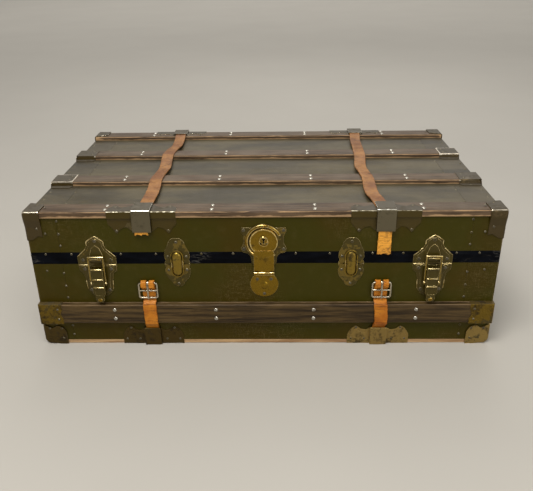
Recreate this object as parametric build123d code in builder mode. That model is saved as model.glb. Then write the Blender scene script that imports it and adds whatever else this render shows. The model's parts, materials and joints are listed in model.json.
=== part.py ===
"""Flat-topped slatted steamer trunk (footlocker): a boarded case and a hinged lid, with a lift-out tray.

Millimetres.  Origin on the floor under the middle of the trunk, +Z up, +X to the owner's right when
facing the front, and the front of the trunk towards -Y.
"""
import os

from build123d import *

os.makedirs("parts", exist_ok=True)

# ---------------------------------------------------------------- driving dimensions
LENGTH = 914.0            # outside of the covered box, end to end
DEPTH = 560.0             # outside of the covered box, front to back
SEAM_Z = 186.5            # joint line between case and lid
PANEL_TOP_Z = 288.5       # covered top of the lid, under the slats
BASE_Z = 9.0              # covered underside of the case, on top of the bottom slats
SEAM_GAP = 0.3            # daylight between case and lid at the joint line

SKIN = 1.0                # canvas, fibre binding and valance
BOARD = 10.0              # side boards
PANEL = 9.0               # top and bottom boards
PAPER = 0.8               # lining

SLAT_W = 45.0             # hardwood slats on the top
SLAT_T = 9.0
SLAT_LIP = 3.0            # the edge slats hang over the front and back by this much
SLAT_ROUND = 2.0
MIDDLE_SLAT_Y = 91.0
WAIST_Z = (56.0, 99.0)    # slat along the front and back of the case
WAIST_T = 12.0
BOTTOM_SLAT_T = 8.0
BOTTOM_SLAT_X = 440.0

BINDING_W = 59.5          # fibre binding, measured in from each end
BUTT_GAP = 0.2            # half the gap where two coverings butt together
VALANCE_TOP_Z = 211.7
LIP_TOP_Z = 198.3         # wooden lip inside the joint line

STRAP_X = 232.0
STRAP_W = 27.0
STRAP_T = 3.0
STRAP_BEND_R = 2.0        # at the middle of its thickness
LOOP_W = 36.0             # raised bridge of a strap loop
LOOP_METAL = 1.5
SHEET = 1.2               # stamped plates

DRAW_BOLT_X = 328.0
DOWEL_X = 170.0
HINGE_X = 330.0
NAIL_COLUMNS = (-303.0, -98.3, 98.3, 303.0)

HINGE_AXIS_Y = DEPTH / 2 + 6.0
LID_BOTTOM = SEAM_Z + SEAM_GAP / 2
CASE_TOP = SEAM_Z - SEAM_GAP / 2

OUT_X = LENGTH / 2
OUT_Y = DEPTH / 2
WOOD_X = OUT_X - SKIN
WOOD_Y = OUT_Y - SKIN
IN_X = WOOD_X - BOARD
IN_Y = WOOD_Y - BOARD
FLOOR_IN = BASE_Z + SKIN + PANEL
SLAT_TOP_Z = PANEL_TOP_Z + SLAT_T
WAIST_Y = OUT_Y + WAIST_T
PAST = 1.0                # how far a cut runs past the surface it starts from
FAR = 400.0               # beyond the whole trunk, for cuts that go right through
BUTT_X = OUT_X - BINDING_W
FRONT = Plane.XZ.offset(OUT_Y)          # faces -Y; sketch x is X and sketch y is Z


# ---------------------------------------------------------------- shared shapes
def block(x, y, z, mode=Mode.ADD):
    """Add a box between low and high limits on each axis."""
    middle = [(low + high) / 2 for low, high in (x, y, z)]
    with Locations(tuple(middle)):
        Box(x[1] - x[0], y[1] - y[0], z[1] - z[0], mode=mode)


def prism(plane, points, amount, corner=0.0, mode=Mode.ADD):
    """Extrude a closed outline of straight sides, with all its corners rounded if asked."""
    with BuildSketch(plane) as outline:
        with BuildLine():
            Polyline(*points, close=True)
        make_face()
        if corner:
            fillet(outline.vertices(), corner)
    extrude(outline.sketch, amount=amount, mode=mode)


def disc(plane, centre, radius, amount, mode=Mode.ADD):
    """Extrude a circle that stands at centre on a plane."""
    with BuildSketch(plane) as outline:
        with Locations(centre):
            Circle(radius)
    extrude(outline.sketch, amount=amount, mode=mode)


def mirrored(points):
    """Complete a left-right symmetrical outline from its right half, listed top to bottom."""
    return points + [(-x, y) for x, y in reversed(points) if x]


def open_box(z, top, mode=Mode.ADD):
    """Add the box that the covering wraps, between two heights; top says which face is closed."""
    block((-OUT_X, OUT_X), (-OUT_Y, OUT_Y), z, mode=mode)
    inner = (z[0] - PAST, z[1] - SKIN) if top else (z[0] + SKIN, z[1] + PAST)
    block((-WOOD_X, WOOD_X), (-WOOD_Y, WOOD_Y), inner, mode=Mode.SUBTRACT)


def strap(path, x):
    """Add a flat strap along a rounded path in the YZ plane, centred on x."""
    with BuildSketch(Plane.YZ.offset(x - STRAP_W / 2)) as edge_view:
        with BuildLine():
            FilletPolyline(*path, radius=STRAP_BEND_R)
        trace(line_width=STRAP_T)
    extrude(edge_view.sketch, amount=STRAP_W)


def nail_heads(head, places, tilt=(0, 0, 0)):
    """Add one domed head at each place; an untilted head faces up."""
    with Locations(*[Location(place, tilt) for place in places]):
        add(head)


# ---------------------------------------------------------------- case: boards
with BuildPart() as case_bottom_board:
    block((-WOOD_X, WOOD_X), (-WOOD_Y, WOOD_Y), (BASE_Z + SKIN, FLOOR_IN))
case_bottom_board.part.label = "case_bottom_board"
export_step(case_bottom_board.part, "parts/case_bottom_board.step")

with BuildPart() as case_front_board:
    block((-WOOD_X, WOOD_X), (-WOOD_Y, -IN_Y), (FLOOR_IN, CASE_TOP))
case_front_board.part.label = "case_front_board"
export_step(case_front_board.part, "parts/case_front_board.step")

with BuildPart() as case_back_board:
    block((-WOOD_X, WOOD_X), (IN_Y, WOOD_Y), (FLOOR_IN, CASE_TOP))
case_back_board.part.label = "case_back_board"
export_step(case_back_board.part, "parts/case_back_board.step")

with BuildPart() as case_end_boards:
    block((IN_X, WOOD_X), (-IN_Y, IN_Y), (FLOOR_IN, CASE_TOP))
    mirror(about=Plane.YZ)
case_end_boards.part.label = "case_end_boards"
export_step(case_end_boards.part, "parts/case_end_boards.step")

# ---------------------------------------------------------------- case: covering and lining
with BuildPart() as case_canvas:
    open_box((BASE_Z, CASE_TOP), top=False)
    for end in (-1, 1):
        limits = sorted((end * (BUTT_X - BUTT_GAP), end * (OUT_X + PAST)))
        block(limits, (-OUT_Y - PAST, OUT_Y + PAST), (0, SEAM_Z), mode=Mode.SUBTRACT)
case_canvas.part.label = "case_canvas"
export_step(case_canvas.part, "parts/case_canvas.step")

with BuildPart() as case_edge_bindings:
    open_box((BASE_Z, CASE_TOP), top=False)
    across = BUTT_X + BUTT_GAP
    block((-across, across), (-OUT_Y - PAST, OUT_Y + PAST), (0, SEAM_Z), mode=Mode.SUBTRACT)
case_edge_bindings.part.label = "case_edge_bindings"
export_step(case_edge_bindings.part, "parts/case_edge_bindings.step")

LIP_FOOT_Z = 168.0
with BuildPart() as case_lining:
    block((-IN_X, IN_X), (-IN_Y, IN_Y), (FLOOR_IN, LIP_FOOT_Z))
    block((-IN_X + PAPER, IN_X - PAPER), (-IN_Y + PAPER, IN_Y - PAPER),
          (FLOOR_IN + PAPER, LIP_FOOT_Z + PAST), mode=Mode.SUBTRACT)
case_lining.part.label = "case_lining"
export_step(case_lining.part, "parts/case_lining.step")

# The lip stands above the joint line and locates the lid; its upper part is set back to clear it.
LIP_T = 6.0
LIP_SETBACK = 0.8
STRIP_GAP = 0.1             # where two strips or walls meet in a corner
with BuildPart() as case_rim_lip:
    for side in (-1, 1):
        foot = sorted((side * (IN_Y - LIP_T), side * IN_Y))
        nose = sorted((side * (IN_Y - LIP_T), side * (IN_Y - LIP_SETBACK)))
        block((-IN_X, IN_X), foot, (LIP_FOOT_Z, CASE_TOP))
        block((-IN_X + LIP_SETBACK, IN_X - LIP_SETBACK), nose, (CASE_TOP, LIP_TOP_Z))
        foot = sorted((side * (IN_X - LIP_T), side * IN_X))
        nose = sorted((side * (IN_X - LIP_T), side * (IN_X - LIP_SETBACK)))
        strip_y = IN_Y - LIP_T - STRIP_GAP
        block(foot, (-strip_y, strip_y), (LIP_FOOT_Z, CASE_TOP))
        block(nose, (-strip_y, strip_y), (CASE_TOP, LIP_TOP_Z))
case_rim_lip.part.label = "case_rim_lip"
export_step(case_rim_lip.part, "parts/case_rim_lip.step")

TRAY_REST_Z = 112.0
RUNNER_X = 433.0
RUNNER_HALF_L = 240.0
RUNNER_H = 10.0
with BuildPart() as tray_runners:
    block((RUNNER_X, IN_X - PAPER), (-RUNNER_HALF_L, RUNNER_HALF_L), (TRAY_REST_Z - RUNNER_H, TRAY_REST_Z))
    mirror(about=Plane.YZ)
tray_runners.part.label = "tray_runners"
export_step(tray_runners.part, "parts/tray_runners.step")

# ---------------------------------------------------------------- case: slats and their clamps
with BuildPart() as case_slat_front:
    block((-OUT_X, OUT_X), (-WAIST_Y, -OUT_Y), WAIST_Z)
    fillet(case_slat_front.edges().filter_by(Axis.X).group_by(Axis.Y)[0], SLAT_ROUND)
case_slat_front.part.label = "case_slat_front"
export_step(case_slat_front.part, "parts/case_slat_front.step")

with BuildPart() as case_slat_back:
    block((-OUT_X, OUT_X), (OUT_Y, WAIST_Y), WAIST_Z)
    fillet(case_slat_back.edges().filter_by(Axis.X).group_by(Axis.Y)[-1], SLAT_ROUND)
case_slat_back.part.label = "case_slat_back"
export_step(case_slat_back.part, "parts/case_slat_back.step")

# The straps run between the covered underside and the bottom slats, through a notch in each slat.
STRAP_NOTCH_Z = 5.5
STRAP_ROOM = 1.0
with BuildPart() as bottom_slats:
    for y in (-OUT_Y + SLAT_W / 2, -MIDDLE_SLAT_Y, MIDDLE_SLAT_Y, OUT_Y - SLAT_W / 2):
        across = (y - SLAT_W / 2, y + SLAT_W / 2)
        block((-BOTTOM_SLAT_X, BOTTOM_SLAT_X), across, (BASE_Z - BOTTOM_SLAT_T, BASE_Z))
    for x in (-STRAP_X, STRAP_X):
        notch = (x - STRAP_W / 2 - STRAP_ROOM, x + STRAP_W / 2 + STRAP_ROOM)
        block(notch, (-OUT_Y - PAST, OUT_Y + PAST), (STRAP_NOTCH_Z, BASE_Z + PAST), mode=Mode.SUBTRACT)
bottom_slats.part.label = "bottom_slats"
export_step(bottom_slats.part, "parts/bottom_slats.step")

CLAMP_LEG = 47.0          # along the slat
CLAMP_TURN = 30.0         # round the corner, on the end of the case
with BuildPart() as case_slat_clamps:
    clamp_z = (WAIST_Z[0] - SHEET, WAIST_Z[1] + SHEET)
    block((OUT_X - CLAMP_LEG, OUT_X + SHEET), (-WAIST_Y - SHEET, -OUT_Y), clamp_z)
    block((OUT_X, OUT_X + SHEET), (-OUT_Y, -OUT_Y + CLAMP_TURN), clamp_z)
    fillet(case_slat_clamps.edges().filter_by(Axis.Z).group_by(Axis.X)[-1].sort_by(Axis.Y)[0], 1.5)
    block((0, OUT_X), (-WAIST_Y, 0), WAIST_Z, mode=Mode.SUBTRACT)
    block((0, OUT_X), (-OUT_Y, 0), (0, SEAM_Z), mode=Mode.SUBTRACT)
    mirror(about=Plane.YZ)
    mirror(about=Plane.XZ)
case_slat_clamps.part.label = "case_slat_clamps"
export_step(case_slat_clamps.part, "parts/case_slat_clamps.step")

# ---------------------------------------------------------------- case: bottom corners and strap loops
CORNER_H = 46.0
CORNER_L = 45.0
CORNER_OUT = 3.0          # the foot corners stand off the box by this much
CORNER_ROUND = 5.0
FOOT_ROUND = 12.0
LOBE_ROUND = 2.0
with BuildPart() as bottom_corners:
    block((OUT_X - CORNER_L, OUT_X + CORNER_OUT), (-OUT_Y - CORNER_OUT, -OUT_Y + CORNER_L), (0, CORNER_H))
    low_end = bottom_corners.edges().filter_by(Axis.Y).group_by(Axis.Z)[0].sort_by(Axis.X)[-1]
    fillet(low_end, FOOT_ROUND)
    upright = bottom_corners.edges().filter_by(Axis.Z).sort_by(Axis.Y)[:2].sort_by(Axis.X)[-1]
    fillet(upright, CORNER_ROUND)
    side_lobes = [(0, -20), (52, -20), (52, 27), (45, 40), (34, 45), (22, 38), (8, 46), (0, 46)]
    lobe_start = 2 * CORNER_OUT
    front_lobes = [(OUT_X + lobe_start - a, b) for a, b in side_lobes]
    end_lobes = [(-OUT_Y - lobe_start + a, b) for a, b in side_lobes]
    prism(Plane.XZ, front_lobes, FAR, LOBE_ROUND, Mode.INTERSECT)
    prism(Plane.YZ, end_lobes, 2 * FAR, LOBE_ROUND, Mode.INTERSECT)
    block((0, OUT_X), (-OUT_Y, 0), (BASE_Z, SEAM_Z), mode=Mode.SUBTRACT)
    block((0, BOTTOM_SLAT_X), (-OUT_Y, -OUT_Y + SLAT_W), (BASE_Z - BOTTOM_SLAT_T, BASE_Z),
          mode=Mode.SUBTRACT)
    mirror(about=Plane.YZ)
    mirror(about=Plane.XZ)
bottom_corners.part.label = "bottom_corners"
export_step(bottom_corners.part, "parts/bottom_corners.step")

FOOT_WING_HALF_W = 65.0
FOOT_WING_TOP = 45.0
FOOT_WING_UNDER = 34.0    # how far the foot loop's tab runs under the slat
FOOT_BRIDGE_OUT = 7.0
FOOT_BRIDGE_TOP = 41.0
FOOT_BRIDGE_ROUND = 1.4
FOOT_CHANNEL_HALF_W = 14.8
FOOT_CHANNEL_IN = 8.0
BAT_WING = mirrored([(0, 38), (18, 38), (24, 33), (36, 35), (45, 43), (55, 36), (63, 22), (63, -9)])
with BuildPart() as bottom_strap_loops:
    tab_y = -OUT_Y + FOOT_WING_UNDER
    sheet_path = [(-OUT_Y, FOOT_WING_TOP), (-OUT_Y, 1), (tab_y, 1), (tab_y, 0), (-OUT_Y - SHEET, 0),
                  (-OUT_Y - SHEET, FOOT_WING_TOP)]
    prism(Plane.YZ.offset(STRAP_X - FOOT_WING_HALF_W), sheet_path, 2 * FOOT_WING_HALF_W)
    prism(Plane.XZ, [(STRAP_X + x, z) for x, z in BAT_WING], FAR, LOBE_ROUND, Mode.INTERSECT)
    bridge_x = (STRAP_X - LOOP_W / 2 + STRAP_ROOM, STRAP_X + LOOP_W / 2 - STRAP_ROOM)
    block(bridge_x, (-OUT_Y - FOOT_BRIDGE_OUT, -OUT_Y), (0, FOOT_BRIDGE_TOP))
    brow = bottom_strap_loops.edges().filter_by(Axis.X).group_by(Axis.Y)[0]
    fillet(brow, FOOT_BRIDGE_ROUND)
    channel_y = (-OUT_Y - FOOT_BRIDGE_OUT + LOOP_METAL, -OUT_Y + FOOT_CHANNEL_IN)
    block((STRAP_X - FOOT_CHANNEL_HALF_W, STRAP_X + FOOT_CHANNEL_HALF_W), channel_y,
          (STRAP_NOTCH_Z, WAIST_Z[0]), mode=Mode.SUBTRACT)
    mirror(about=Plane.YZ)
    mirror(about=Plane.XZ)
bottom_strap_loops.part.label = "bottom_strap_loops"
export_step(bottom_strap_loops.part, "parts/bottom_strap_loops.step")

# ---------------------------------------------------------------- case: lower straps
# Each runs from the buckle down over the waist slat, under the case and up the back to the joint line.
# Its top end is folded forward over the buckle's bar, with a slot for the prong.
BUCKLE_Z = 146.0
BUCKLE_Y = -OUT_Y - 6.0
half_t = STRAP_T / 2
skin_y = OUT_Y + half_t
slat_y = WAIST_Y + half_t
under_z = BASE_Z - 0.1 - half_t
front_run = [(-skin_y, BUCKLE_Z), (-skin_y, 108), (-slat_y, 99.5), (-slat_y, 55.5), (-skin_y - 0.6, 42),
             (-skin_y - 0.6, under_z)]
back_run = [(skin_y + 0.6, under_z), (skin_y + 0.6, 42), (slat_y, 55.5), (slat_y, 99.5), (skin_y, 108),
            (skin_y, CASE_TOP)]
for name, x in (("left", -STRAP_X), ("right", STRAP_X)):
    with BuildPart() as lower_strap:
        strap(front_run + back_run, x)
        fold_plane = Plane.YZ.offset(x - STRAP_W / 2)
        fold_reach = -BUCKLE_Y - OUT_Y
        disc(fold_plane, (BUCKLE_Y, BUCKLE_Z), fold_reach, STRAP_W)
        block((x - STRAP_W / 2, x + STRAP_W / 2), (BUCKLE_Y - fold_reach, BUCKLE_Y - fold_reach + STRAP_T),
              (138, BUCKLE_Z))
        disc(fold_plane, (BUCKLE_Y, BUCKLE_Z), fold_reach - STRAP_T, STRAP_W, Mode.SUBTRACT)
        block((x - STRAP_W / 2, x + STRAP_W / 2), (-OUT_Y - 2 * fold_reach + STRAP_T, -OUT_Y - STRAP_T),
              (130, BUCKLE_Z), mode=Mode.SUBTRACT)
        block((x - 3.6, x + 3.6), (-OUT_Y - 14, -OUT_Y + 0.5), (137, BUCKLE_Z + 8), mode=Mode.SUBTRACT)
    lower_strap.part.label = f"lower_strap_{name}"
    export_step(lower_strap.part, f"parts/lower_strap_{name}.step")

# ---------------------------------------------------------------- case: draw bolt bases
LEVER_Y = -OUT_Y - 10.0       # pivot of the lever
LEVER_Z = 176.0
BAIL_Z = 148.0                # pivot of the bail on the lever
PIN_R = 1.5
RUNNING = 0.05                # radial clearance of a pin in its eye
EAR_X = (6.5, 9.5)            # ears that carry the lever's pin, out from the middle
EAR_R = 3.0
PIN_HALF_L = 12.4
BASE_OUTLINE = mirrored([(0, CASE_TOP), (38, CASE_TOP), (37, 172), (26, 164), (25, 150), (24, 128),
                         (17, 119), (8, 116), (0, 116)])
with BuildPart() as draw_bolt_bases:
    outline = [(DRAW_BOLT_X + x, z) for x, z in BASE_OUTLINE]
    prism(FRONT, outline, LOOP_METAL)
    for side in (-1, 1):
        ear = sorted(DRAW_BOLT_X + side * reach for reach in EAR_X)
        disc(Plane.YZ.offset(ear[0]), (LEVER_Y, LEVER_Z), EAR_R, ear[1] - ear[0])
        block(ear, (LEVER_Y, -OUT_Y - LOOP_METAL), (LEVER_Z - EAR_R, LEVER_Z + EAR_R))
    disc(Plane.YZ.offset(DRAW_BOLT_X - PIN_HALF_L), (LEVER_Y, LEVER_Z), PIN_R, 2 * PIN_HALF_L)
    mirror(about=Plane.YZ)
draw_bolt_bases.part.label = "draw_bolt_bases"
export_step(draw_bolt_bases.part, "parts/draw_bolt_bases.step")

# ---------------------------------------------------------------- case: dowel sockets, lock plate
DOWEL_HALF_H = 53.0
DOWEL_MIDDLE_Z = 189.0
DOWEL_HALF_W = 25.0
CAPSULE_HALF_W = 10.5
CAPSULE_OUT = 9.0
CAPSULE_ROUND = 3.0
CAPSULE_Z = (162.0, 212.5)
TONGUE_HALF_W = 6.0
TONGUE_Y = (-OUT_Y - 6.6, -OUT_Y - 3.4)
TONGUE_LOW_Z = 175.0
with BuildPart() as dowel_sockets:
    with BuildSketch(FRONT) as oval:
        with Locations((DOWEL_X, DOWEL_MIDDLE_Z)):
            Ellipse(DOWEL_HALF_W, DOWEL_HALF_H)
    extrude(oval.sketch, amount=LOOP_METAL)
    capsule_x = (DOWEL_X - CAPSULE_HALF_W, DOWEL_X + CAPSULE_HALF_W)
    block(capsule_x, (-OUT_Y - CAPSULE_OUT, -OUT_Y), (CAPSULE_Z[0], SEAM_Z + CAPSULE_ROUND))
    fillet(dowel_sockets.edges().filter_by(Axis.Z).group_by(Axis.Y)[0], CAPSULE_ROUND)
    fillet(dowel_sockets.edges().filter_by(Axis.X).group_by(Axis.Y)[0].sort_by(Axis.Z)[0], CAPSULE_ROUND)
    block((DOWEL_X - TONGUE_HALF_W - 1, DOWEL_X + TONGUE_HALF_W + 1), (TONGUE_Y[0] - 0.8, TONGUE_Y[1] + 0.8),
          (TONGUE_LOW_Z - 3, SEAM_Z + PAST), mode=Mode.SUBTRACT)
    block((0, OUT_X), (-FAR, 0), (CASE_TOP, FAR), mode=Mode.SUBTRACT)
    mirror(about=Plane.YZ)
dowel_sockets.part.label = "dowel_sockets"
export_step(dowel_sockets.part, "parts/dowel_sockets.step")

HASP_Y = -OUT_Y - 5.3         # hinge of the hasp
HASP_Z = 167.0
HASP_PIN_R = 1.6
KNUCKLE_R = 3.4
KNUCKLE_SPLIT = 11.0          # where the outer knuckles start, out from the middle
HASP_HALF_W = 20.0
LOCK_FOOT_Z = 140.0
LOCK_R = 28.0
BOSS_Z = 138.0
BOSS_R = 7.0
BOSS_H = 2.0
with BuildPart() as lock_lower_plate:
    disc(FRONT, (0, LOCK_FOOT_Z), LOCK_R, LOOP_METAL)
    block((-HASP_HALF_W, HASP_HALF_W), (-OUT_Y - LOOP_METAL, -OUT_Y), (LOCK_FOOT_Z, HASP_Z + 5))
    disc(FRONT, (0, BOSS_Z), BOSS_R, LOOP_METAL + BOSS_H)
    for side in (-1, 1):
        ear = sorted((side * KNUCKLE_SPLIT, side * HASP_HALF_W))
        disc(Plane.YZ.offset(ear[0]), (HASP_Y, HASP_Z), KNUCKLE_R, ear[1] - ear[0])
        block(ear, (HASP_Y, -OUT_Y - LOOP_METAL), (HASP_Z - KNUCKLE_R, HASP_Z))
    disc(Plane.YZ.offset(-HASP_HALF_W), (HASP_Y, HASP_Z), HASP_PIN_R, 2 * HASP_HALF_W)
lock_lower_plate.part.label = "lock_lower_plate"
export_step(lock_lower_plate.part, "parts/lock_lower_plate.step")

# ---------------------------------------------------------------- case: end handles
HANDLE_Z = 143.0
HANDLE_H = 24.0


def grip(oversize=0.0):
    """Add one bowed leather grip on the right-hand end, swollen by oversize for cutting its seat."""
    bow = [(33, 52), (10, 92), (1.5, 92), (1.5, 78), (6, 78), (25, 47)]
    right = [(OUT_X + a, b) for a, b in bow]
    left = [(OUT_X + a, -b) for a, b in reversed(bow)]
    with BuildSketch(Plane.XY.offset(HANDLE_Z - HANDLE_H / 2 - oversize)) as side_view:
        with BuildLine():
            Polyline(*(right + left), close=True)
        make_face()
        if oversize:
            offset(amount=oversize)
    return extrude(side_view.sketch, amount=HANDLE_H + 2 * oversize, mode=Mode.PRIVATE)


with BuildPart() as handles:
    add(grip())
    fillet(handles.edges().filter_by(Axis.X, reverse=True).filter_by(Axis.Z, reverse=True), 2.5)
    mirror(about=Plane.YZ)
handles.part.label = "handles"
export_step(handles.part, "parts/handles.step")

BRACKET_Y = (62.0, 108.0)
BRACKET_HALF_H = 22.0
LOOP_Y = (76.0, 97.0)
LOOP_HALF_H = 15.0
LOOP_OUT = 19.0
LOOP_ROUND = 5.0
with BuildPart() as handle_brackets:
    for side in (-1, 1):
        block((OUT_X, OUT_X + LOOP_METAL), sorted(side * y for y in BRACKET_Y),
              (HANDLE_Z - BRACKET_HALF_H, HANDLE_Z + BRACKET_HALF_H))
        block((OUT_X, OUT_X + LOOP_OUT), sorted(side * y for y in LOOP_Y),
              (HANDLE_Z - LOOP_HALF_H, HANDLE_Z + LOOP_HALF_H))
    fillet(handle_brackets.edges().filter_by(Axis.Z).group_by(Axis.X)[-1], LOOP_ROUND)
    add(grip(0.1), mode=Mode.SUBTRACT)
    mirror(about=Plane.YZ)
handle_brackets.part.label = "handle_brackets"
export_step(handle_brackets.part, "parts/handle_brackets.step")

# ---------------------------------------------------------------- hinges: fixed half and pins
HINGE_HALF_W = 30.0
HINGE_PIN_R = 2.0
HINGE_KNUCKLE_R = 4.0
HINGE_MID = 10.0
HINGE_SIDE_GAP = 0.4
LOW_LEAF_Z = (132.0, 184.0)
HIGH_LEAF_Z = (189.0, 236.0)
hinge_places = (-HINGE_X, 0.0, HINGE_X)
with BuildPart() as hinge_case_leaves:
    for x in hinge_places:
        block((x - HINGE_HALF_W, x + HINGE_HALF_W), (OUT_Y, OUT_Y + LOOP_METAL), LOW_LEAF_Z)
        for side in (-1, 1):
            ear = sorted((x + side * (HINGE_MID + HINGE_SIDE_GAP), x + side * HINGE_HALF_W))
            disc(Plane.YZ.offset(ear[0]), (HINGE_AXIS_Y, SEAM_Z), HINGE_KNUCKLE_R, ear[1] - ear[0])
            block(ear, (OUT_Y, HINGE_AXIS_Y), (SEAM_Z - HINGE_KNUCKLE_R, CASE_TOP))
            disc(Plane.YZ.offset(ear[0]), (HINGE_AXIS_Y, SEAM_Z), HINGE_PIN_R, ear[1] - ear[0],
                 Mode.SUBTRACT)
hinge_case_leaves.part.label = "hinge_case_leaves"
export_step(hinge_case_leaves.part, "parts/hinge_case_leaves.step")

with BuildPart() as hinge_pins:
    for x in hinge_places:
        disc(Plane.YZ.offset(x - HINGE_HALF_W), (HINGE_AXIS_Y, SEAM_Z), HINGE_PIN_R, 2 * HINGE_HALF_W)
hinge_pins.part.label = "hinge_pins"
export_step(hinge_pins.part, "parts/hinge_pins.step")

# ---------------------------------------------------------------- nail heads
NAIL_R = 4.0
NAIL_H = 1.8
PAIR_GAP = 10.0               # half the distance between the two nails of a pair
with BuildPart() as nail:
    dome_r = (NAIL_R ** 2 + NAIL_H ** 2) / (2 * NAIL_H)
    with Locations((0, 0, NAIL_H - dome_r)):
        Sphere(dome_r)
    split(bisect_by=Plane.XY, keep=Keep.TOP)

with BuildPart() as case_slat_nails:
    waist_mid = (WAIST_Z[0] + WAIST_Z[1]) / 2
    rows = [(x, waist_mid + dz) for x in NAIL_COLUMNS for dz in (-PAIR_GAP, PAIR_GAP)]
    nail_heads(nail.part, [(x, -WAIST_Y, z) for x, z in rows], (90, 0, 0))
    nail_heads(nail.part, [(x, WAIST_Y, z) for x, z in rows], (-90, 0, 0))
case_slat_nails.part.label = "case_slat_nails"
export_step(case_slat_nails.part, "parts/case_slat_nails.step")

# ---------------------------------------------------------------- lid: boards
with BuildPart() as lid_top_board:
    block((-WOOD_X, WOOD_X), (-WOOD_Y, WOOD_Y), (PANEL_TOP_Z - SKIN - PANEL, PANEL_TOP_Z - SKIN))
lid_top_board.part.label = "lid_top_board"
export_step(lid_top_board.part, "parts/lid_top_board.step")

LID_WALL_Z = (LID_BOTTOM, PANEL_TOP_Z - SKIN - PANEL)
with BuildPart() as lid_front_board:
    block((-WOOD_X, WOOD_X), (-WOOD_Y, -IN_Y), LID_WALL_Z)
lid_front_board.part.label = "lid_front_board"
export_step(lid_front_board.part, "parts/lid_front_board.step")

with BuildPart() as lid_back_board:
    block((-WOOD_X, WOOD_X), (IN_Y, WOOD_Y), LID_WALL_Z)
lid_back_board.part.label = "lid_back_board"
export_step(lid_back_board.part, "parts/lid_back_board.step")

with BuildPart() as lid_end_boards:
    block((IN_X, WOOD_X), (-IN_Y, IN_Y), LID_WALL_Z)
    mirror(about=Plane.YZ)
lid_end_boards.part.label = "lid_end_boards"
export_step(lid_end_boards.part, "parts/lid_end_boards.step")

# ---------------------------------------------------------------- lid: covering and lining
COVER_Z = (VALANCE_TOP_Z + BUTT_GAP, PANEL_TOP_Z)
with BuildPart() as lid_canvas:
    open_box(COVER_Z, top=True)
    for end in (-1, 1):
        limits = sorted((end * (BUTT_X - BUTT_GAP), end * (OUT_X + PAST)))
        block(limits, (-OUT_Y - PAST, OUT_Y + PAST), (SEAM_Z, FAR), mode=Mode.SUBTRACT)
lid_canvas.part.label = "lid_canvas"
export_step(lid_canvas.part, "parts/lid_canvas.step")

with BuildPart() as lid_edge_bindings:
    open_box(COVER_Z, top=True)
    across = BUTT_X + BUTT_GAP
    block((-across, across), (-OUT_Y - PAST, OUT_Y + PAST), (SEAM_Z, FAR), mode=Mode.SUBTRACT)
lid_edge_bindings.part.label = "lid_edge_bindings"
export_step(lid_edge_bindings.part, "parts/lid_edge_bindings.step")

with BuildPart() as lid_valance:
    block((-OUT_X, OUT_X), (-OUT_Y, OUT_Y), (LID_BOTTOM, VALANCE_TOP_Z))
    block((-WOOD_X, WOOD_X), (-WOOD_Y, WOOD_Y), (SEAM_Z - PAST, VALANCE_TOP_Z + PAST), mode=Mode.SUBTRACT)
lid_valance.part.label = "lid_valance"
export_step(lid_valance.part, "parts/lid_valance.step")

with BuildPart() as lid_lining:
    lining_z = (LIP_TOP_Z + 4, LID_WALL_Z[1])
    block((-IN_X, IN_X), (-IN_Y, IN_Y), lining_z)
    block((-IN_X + PAPER, IN_X - PAPER), (-IN_Y + PAPER, IN_Y - PAPER),
          (lining_z[0] - PAST, lining_z[1] - PAPER), mode=Mode.SUBTRACT)
lid_lining.part.label = "lid_lining"
export_step(lid_lining.part, "parts/lid_lining.step")

# ---------------------------------------------------------------- lid: slats
with BuildPart() as lid_slats_edge:
    lip_z = PANEL_TOP_Z - SLAT_LIP
    edge_section = [(-OUT_Y - SLAT_LIP, lip_z), (-OUT_Y, lip_z), (-OUT_Y, PANEL_TOP_Z),
                    (-OUT_Y - SLAT_LIP + SLAT_W, PANEL_TOP_Z), (-OUT_Y - SLAT_LIP + SLAT_W, SLAT_TOP_Z),
                    (-OUT_Y - SLAT_LIP, SLAT_TOP_Z)]
    prism(Plane.YZ.offset(-OUT_X), edge_section, LENGTH)
    fillet(lid_slats_edge.edges().filter_by(Axis.X).group_by(Axis.Z)[-1], SLAT_ROUND)
    mirror(about=Plane.XZ)
lid_slats_edge.part.label = "lid_slats_edge"
export_step(lid_slats_edge.part, "parts/lid_slats_edge.step")

with BuildPart() as lid_slats_middle:
    block((-OUT_X, OUT_X), (-MIDDLE_SLAT_Y - SLAT_W / 2, -MIDDLE_SLAT_Y + SLAT_W / 2),
          (PANEL_TOP_Z, SLAT_TOP_Z))
    fillet(lid_slats_middle.edges().filter_by(Axis.X).group_by(Axis.Z)[-1], SLAT_ROUND)
    mirror(about=Plane.XZ)
lid_slats_middle.part.label = "lid_slats_middle"
export_step(lid_slats_middle.part, "parts/lid_slats_middle.step")

EDGE_SLAT_Y = OUT_Y + SLAT_LIP - SLAT_W / 2
with BuildPart() as lid_slat_nails:
    rows = [(x, y + dy) for x in NAIL_COLUMNS for dy in (-PAIR_GAP, PAIR_GAP)
            for y in (-EDGE_SLAT_Y, -MIDDLE_SLAT_Y, MIDDLE_SLAT_Y, EDGE_SLAT_Y)]
    nail_heads(nail.part, [(x, y, SLAT_TOP_Z) for x, y in rows])
lid_slat_nails.part.label = "lid_slat_nails"
export_step(lid_slat_nails.part, "parts/lid_slat_nails.step")

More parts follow.
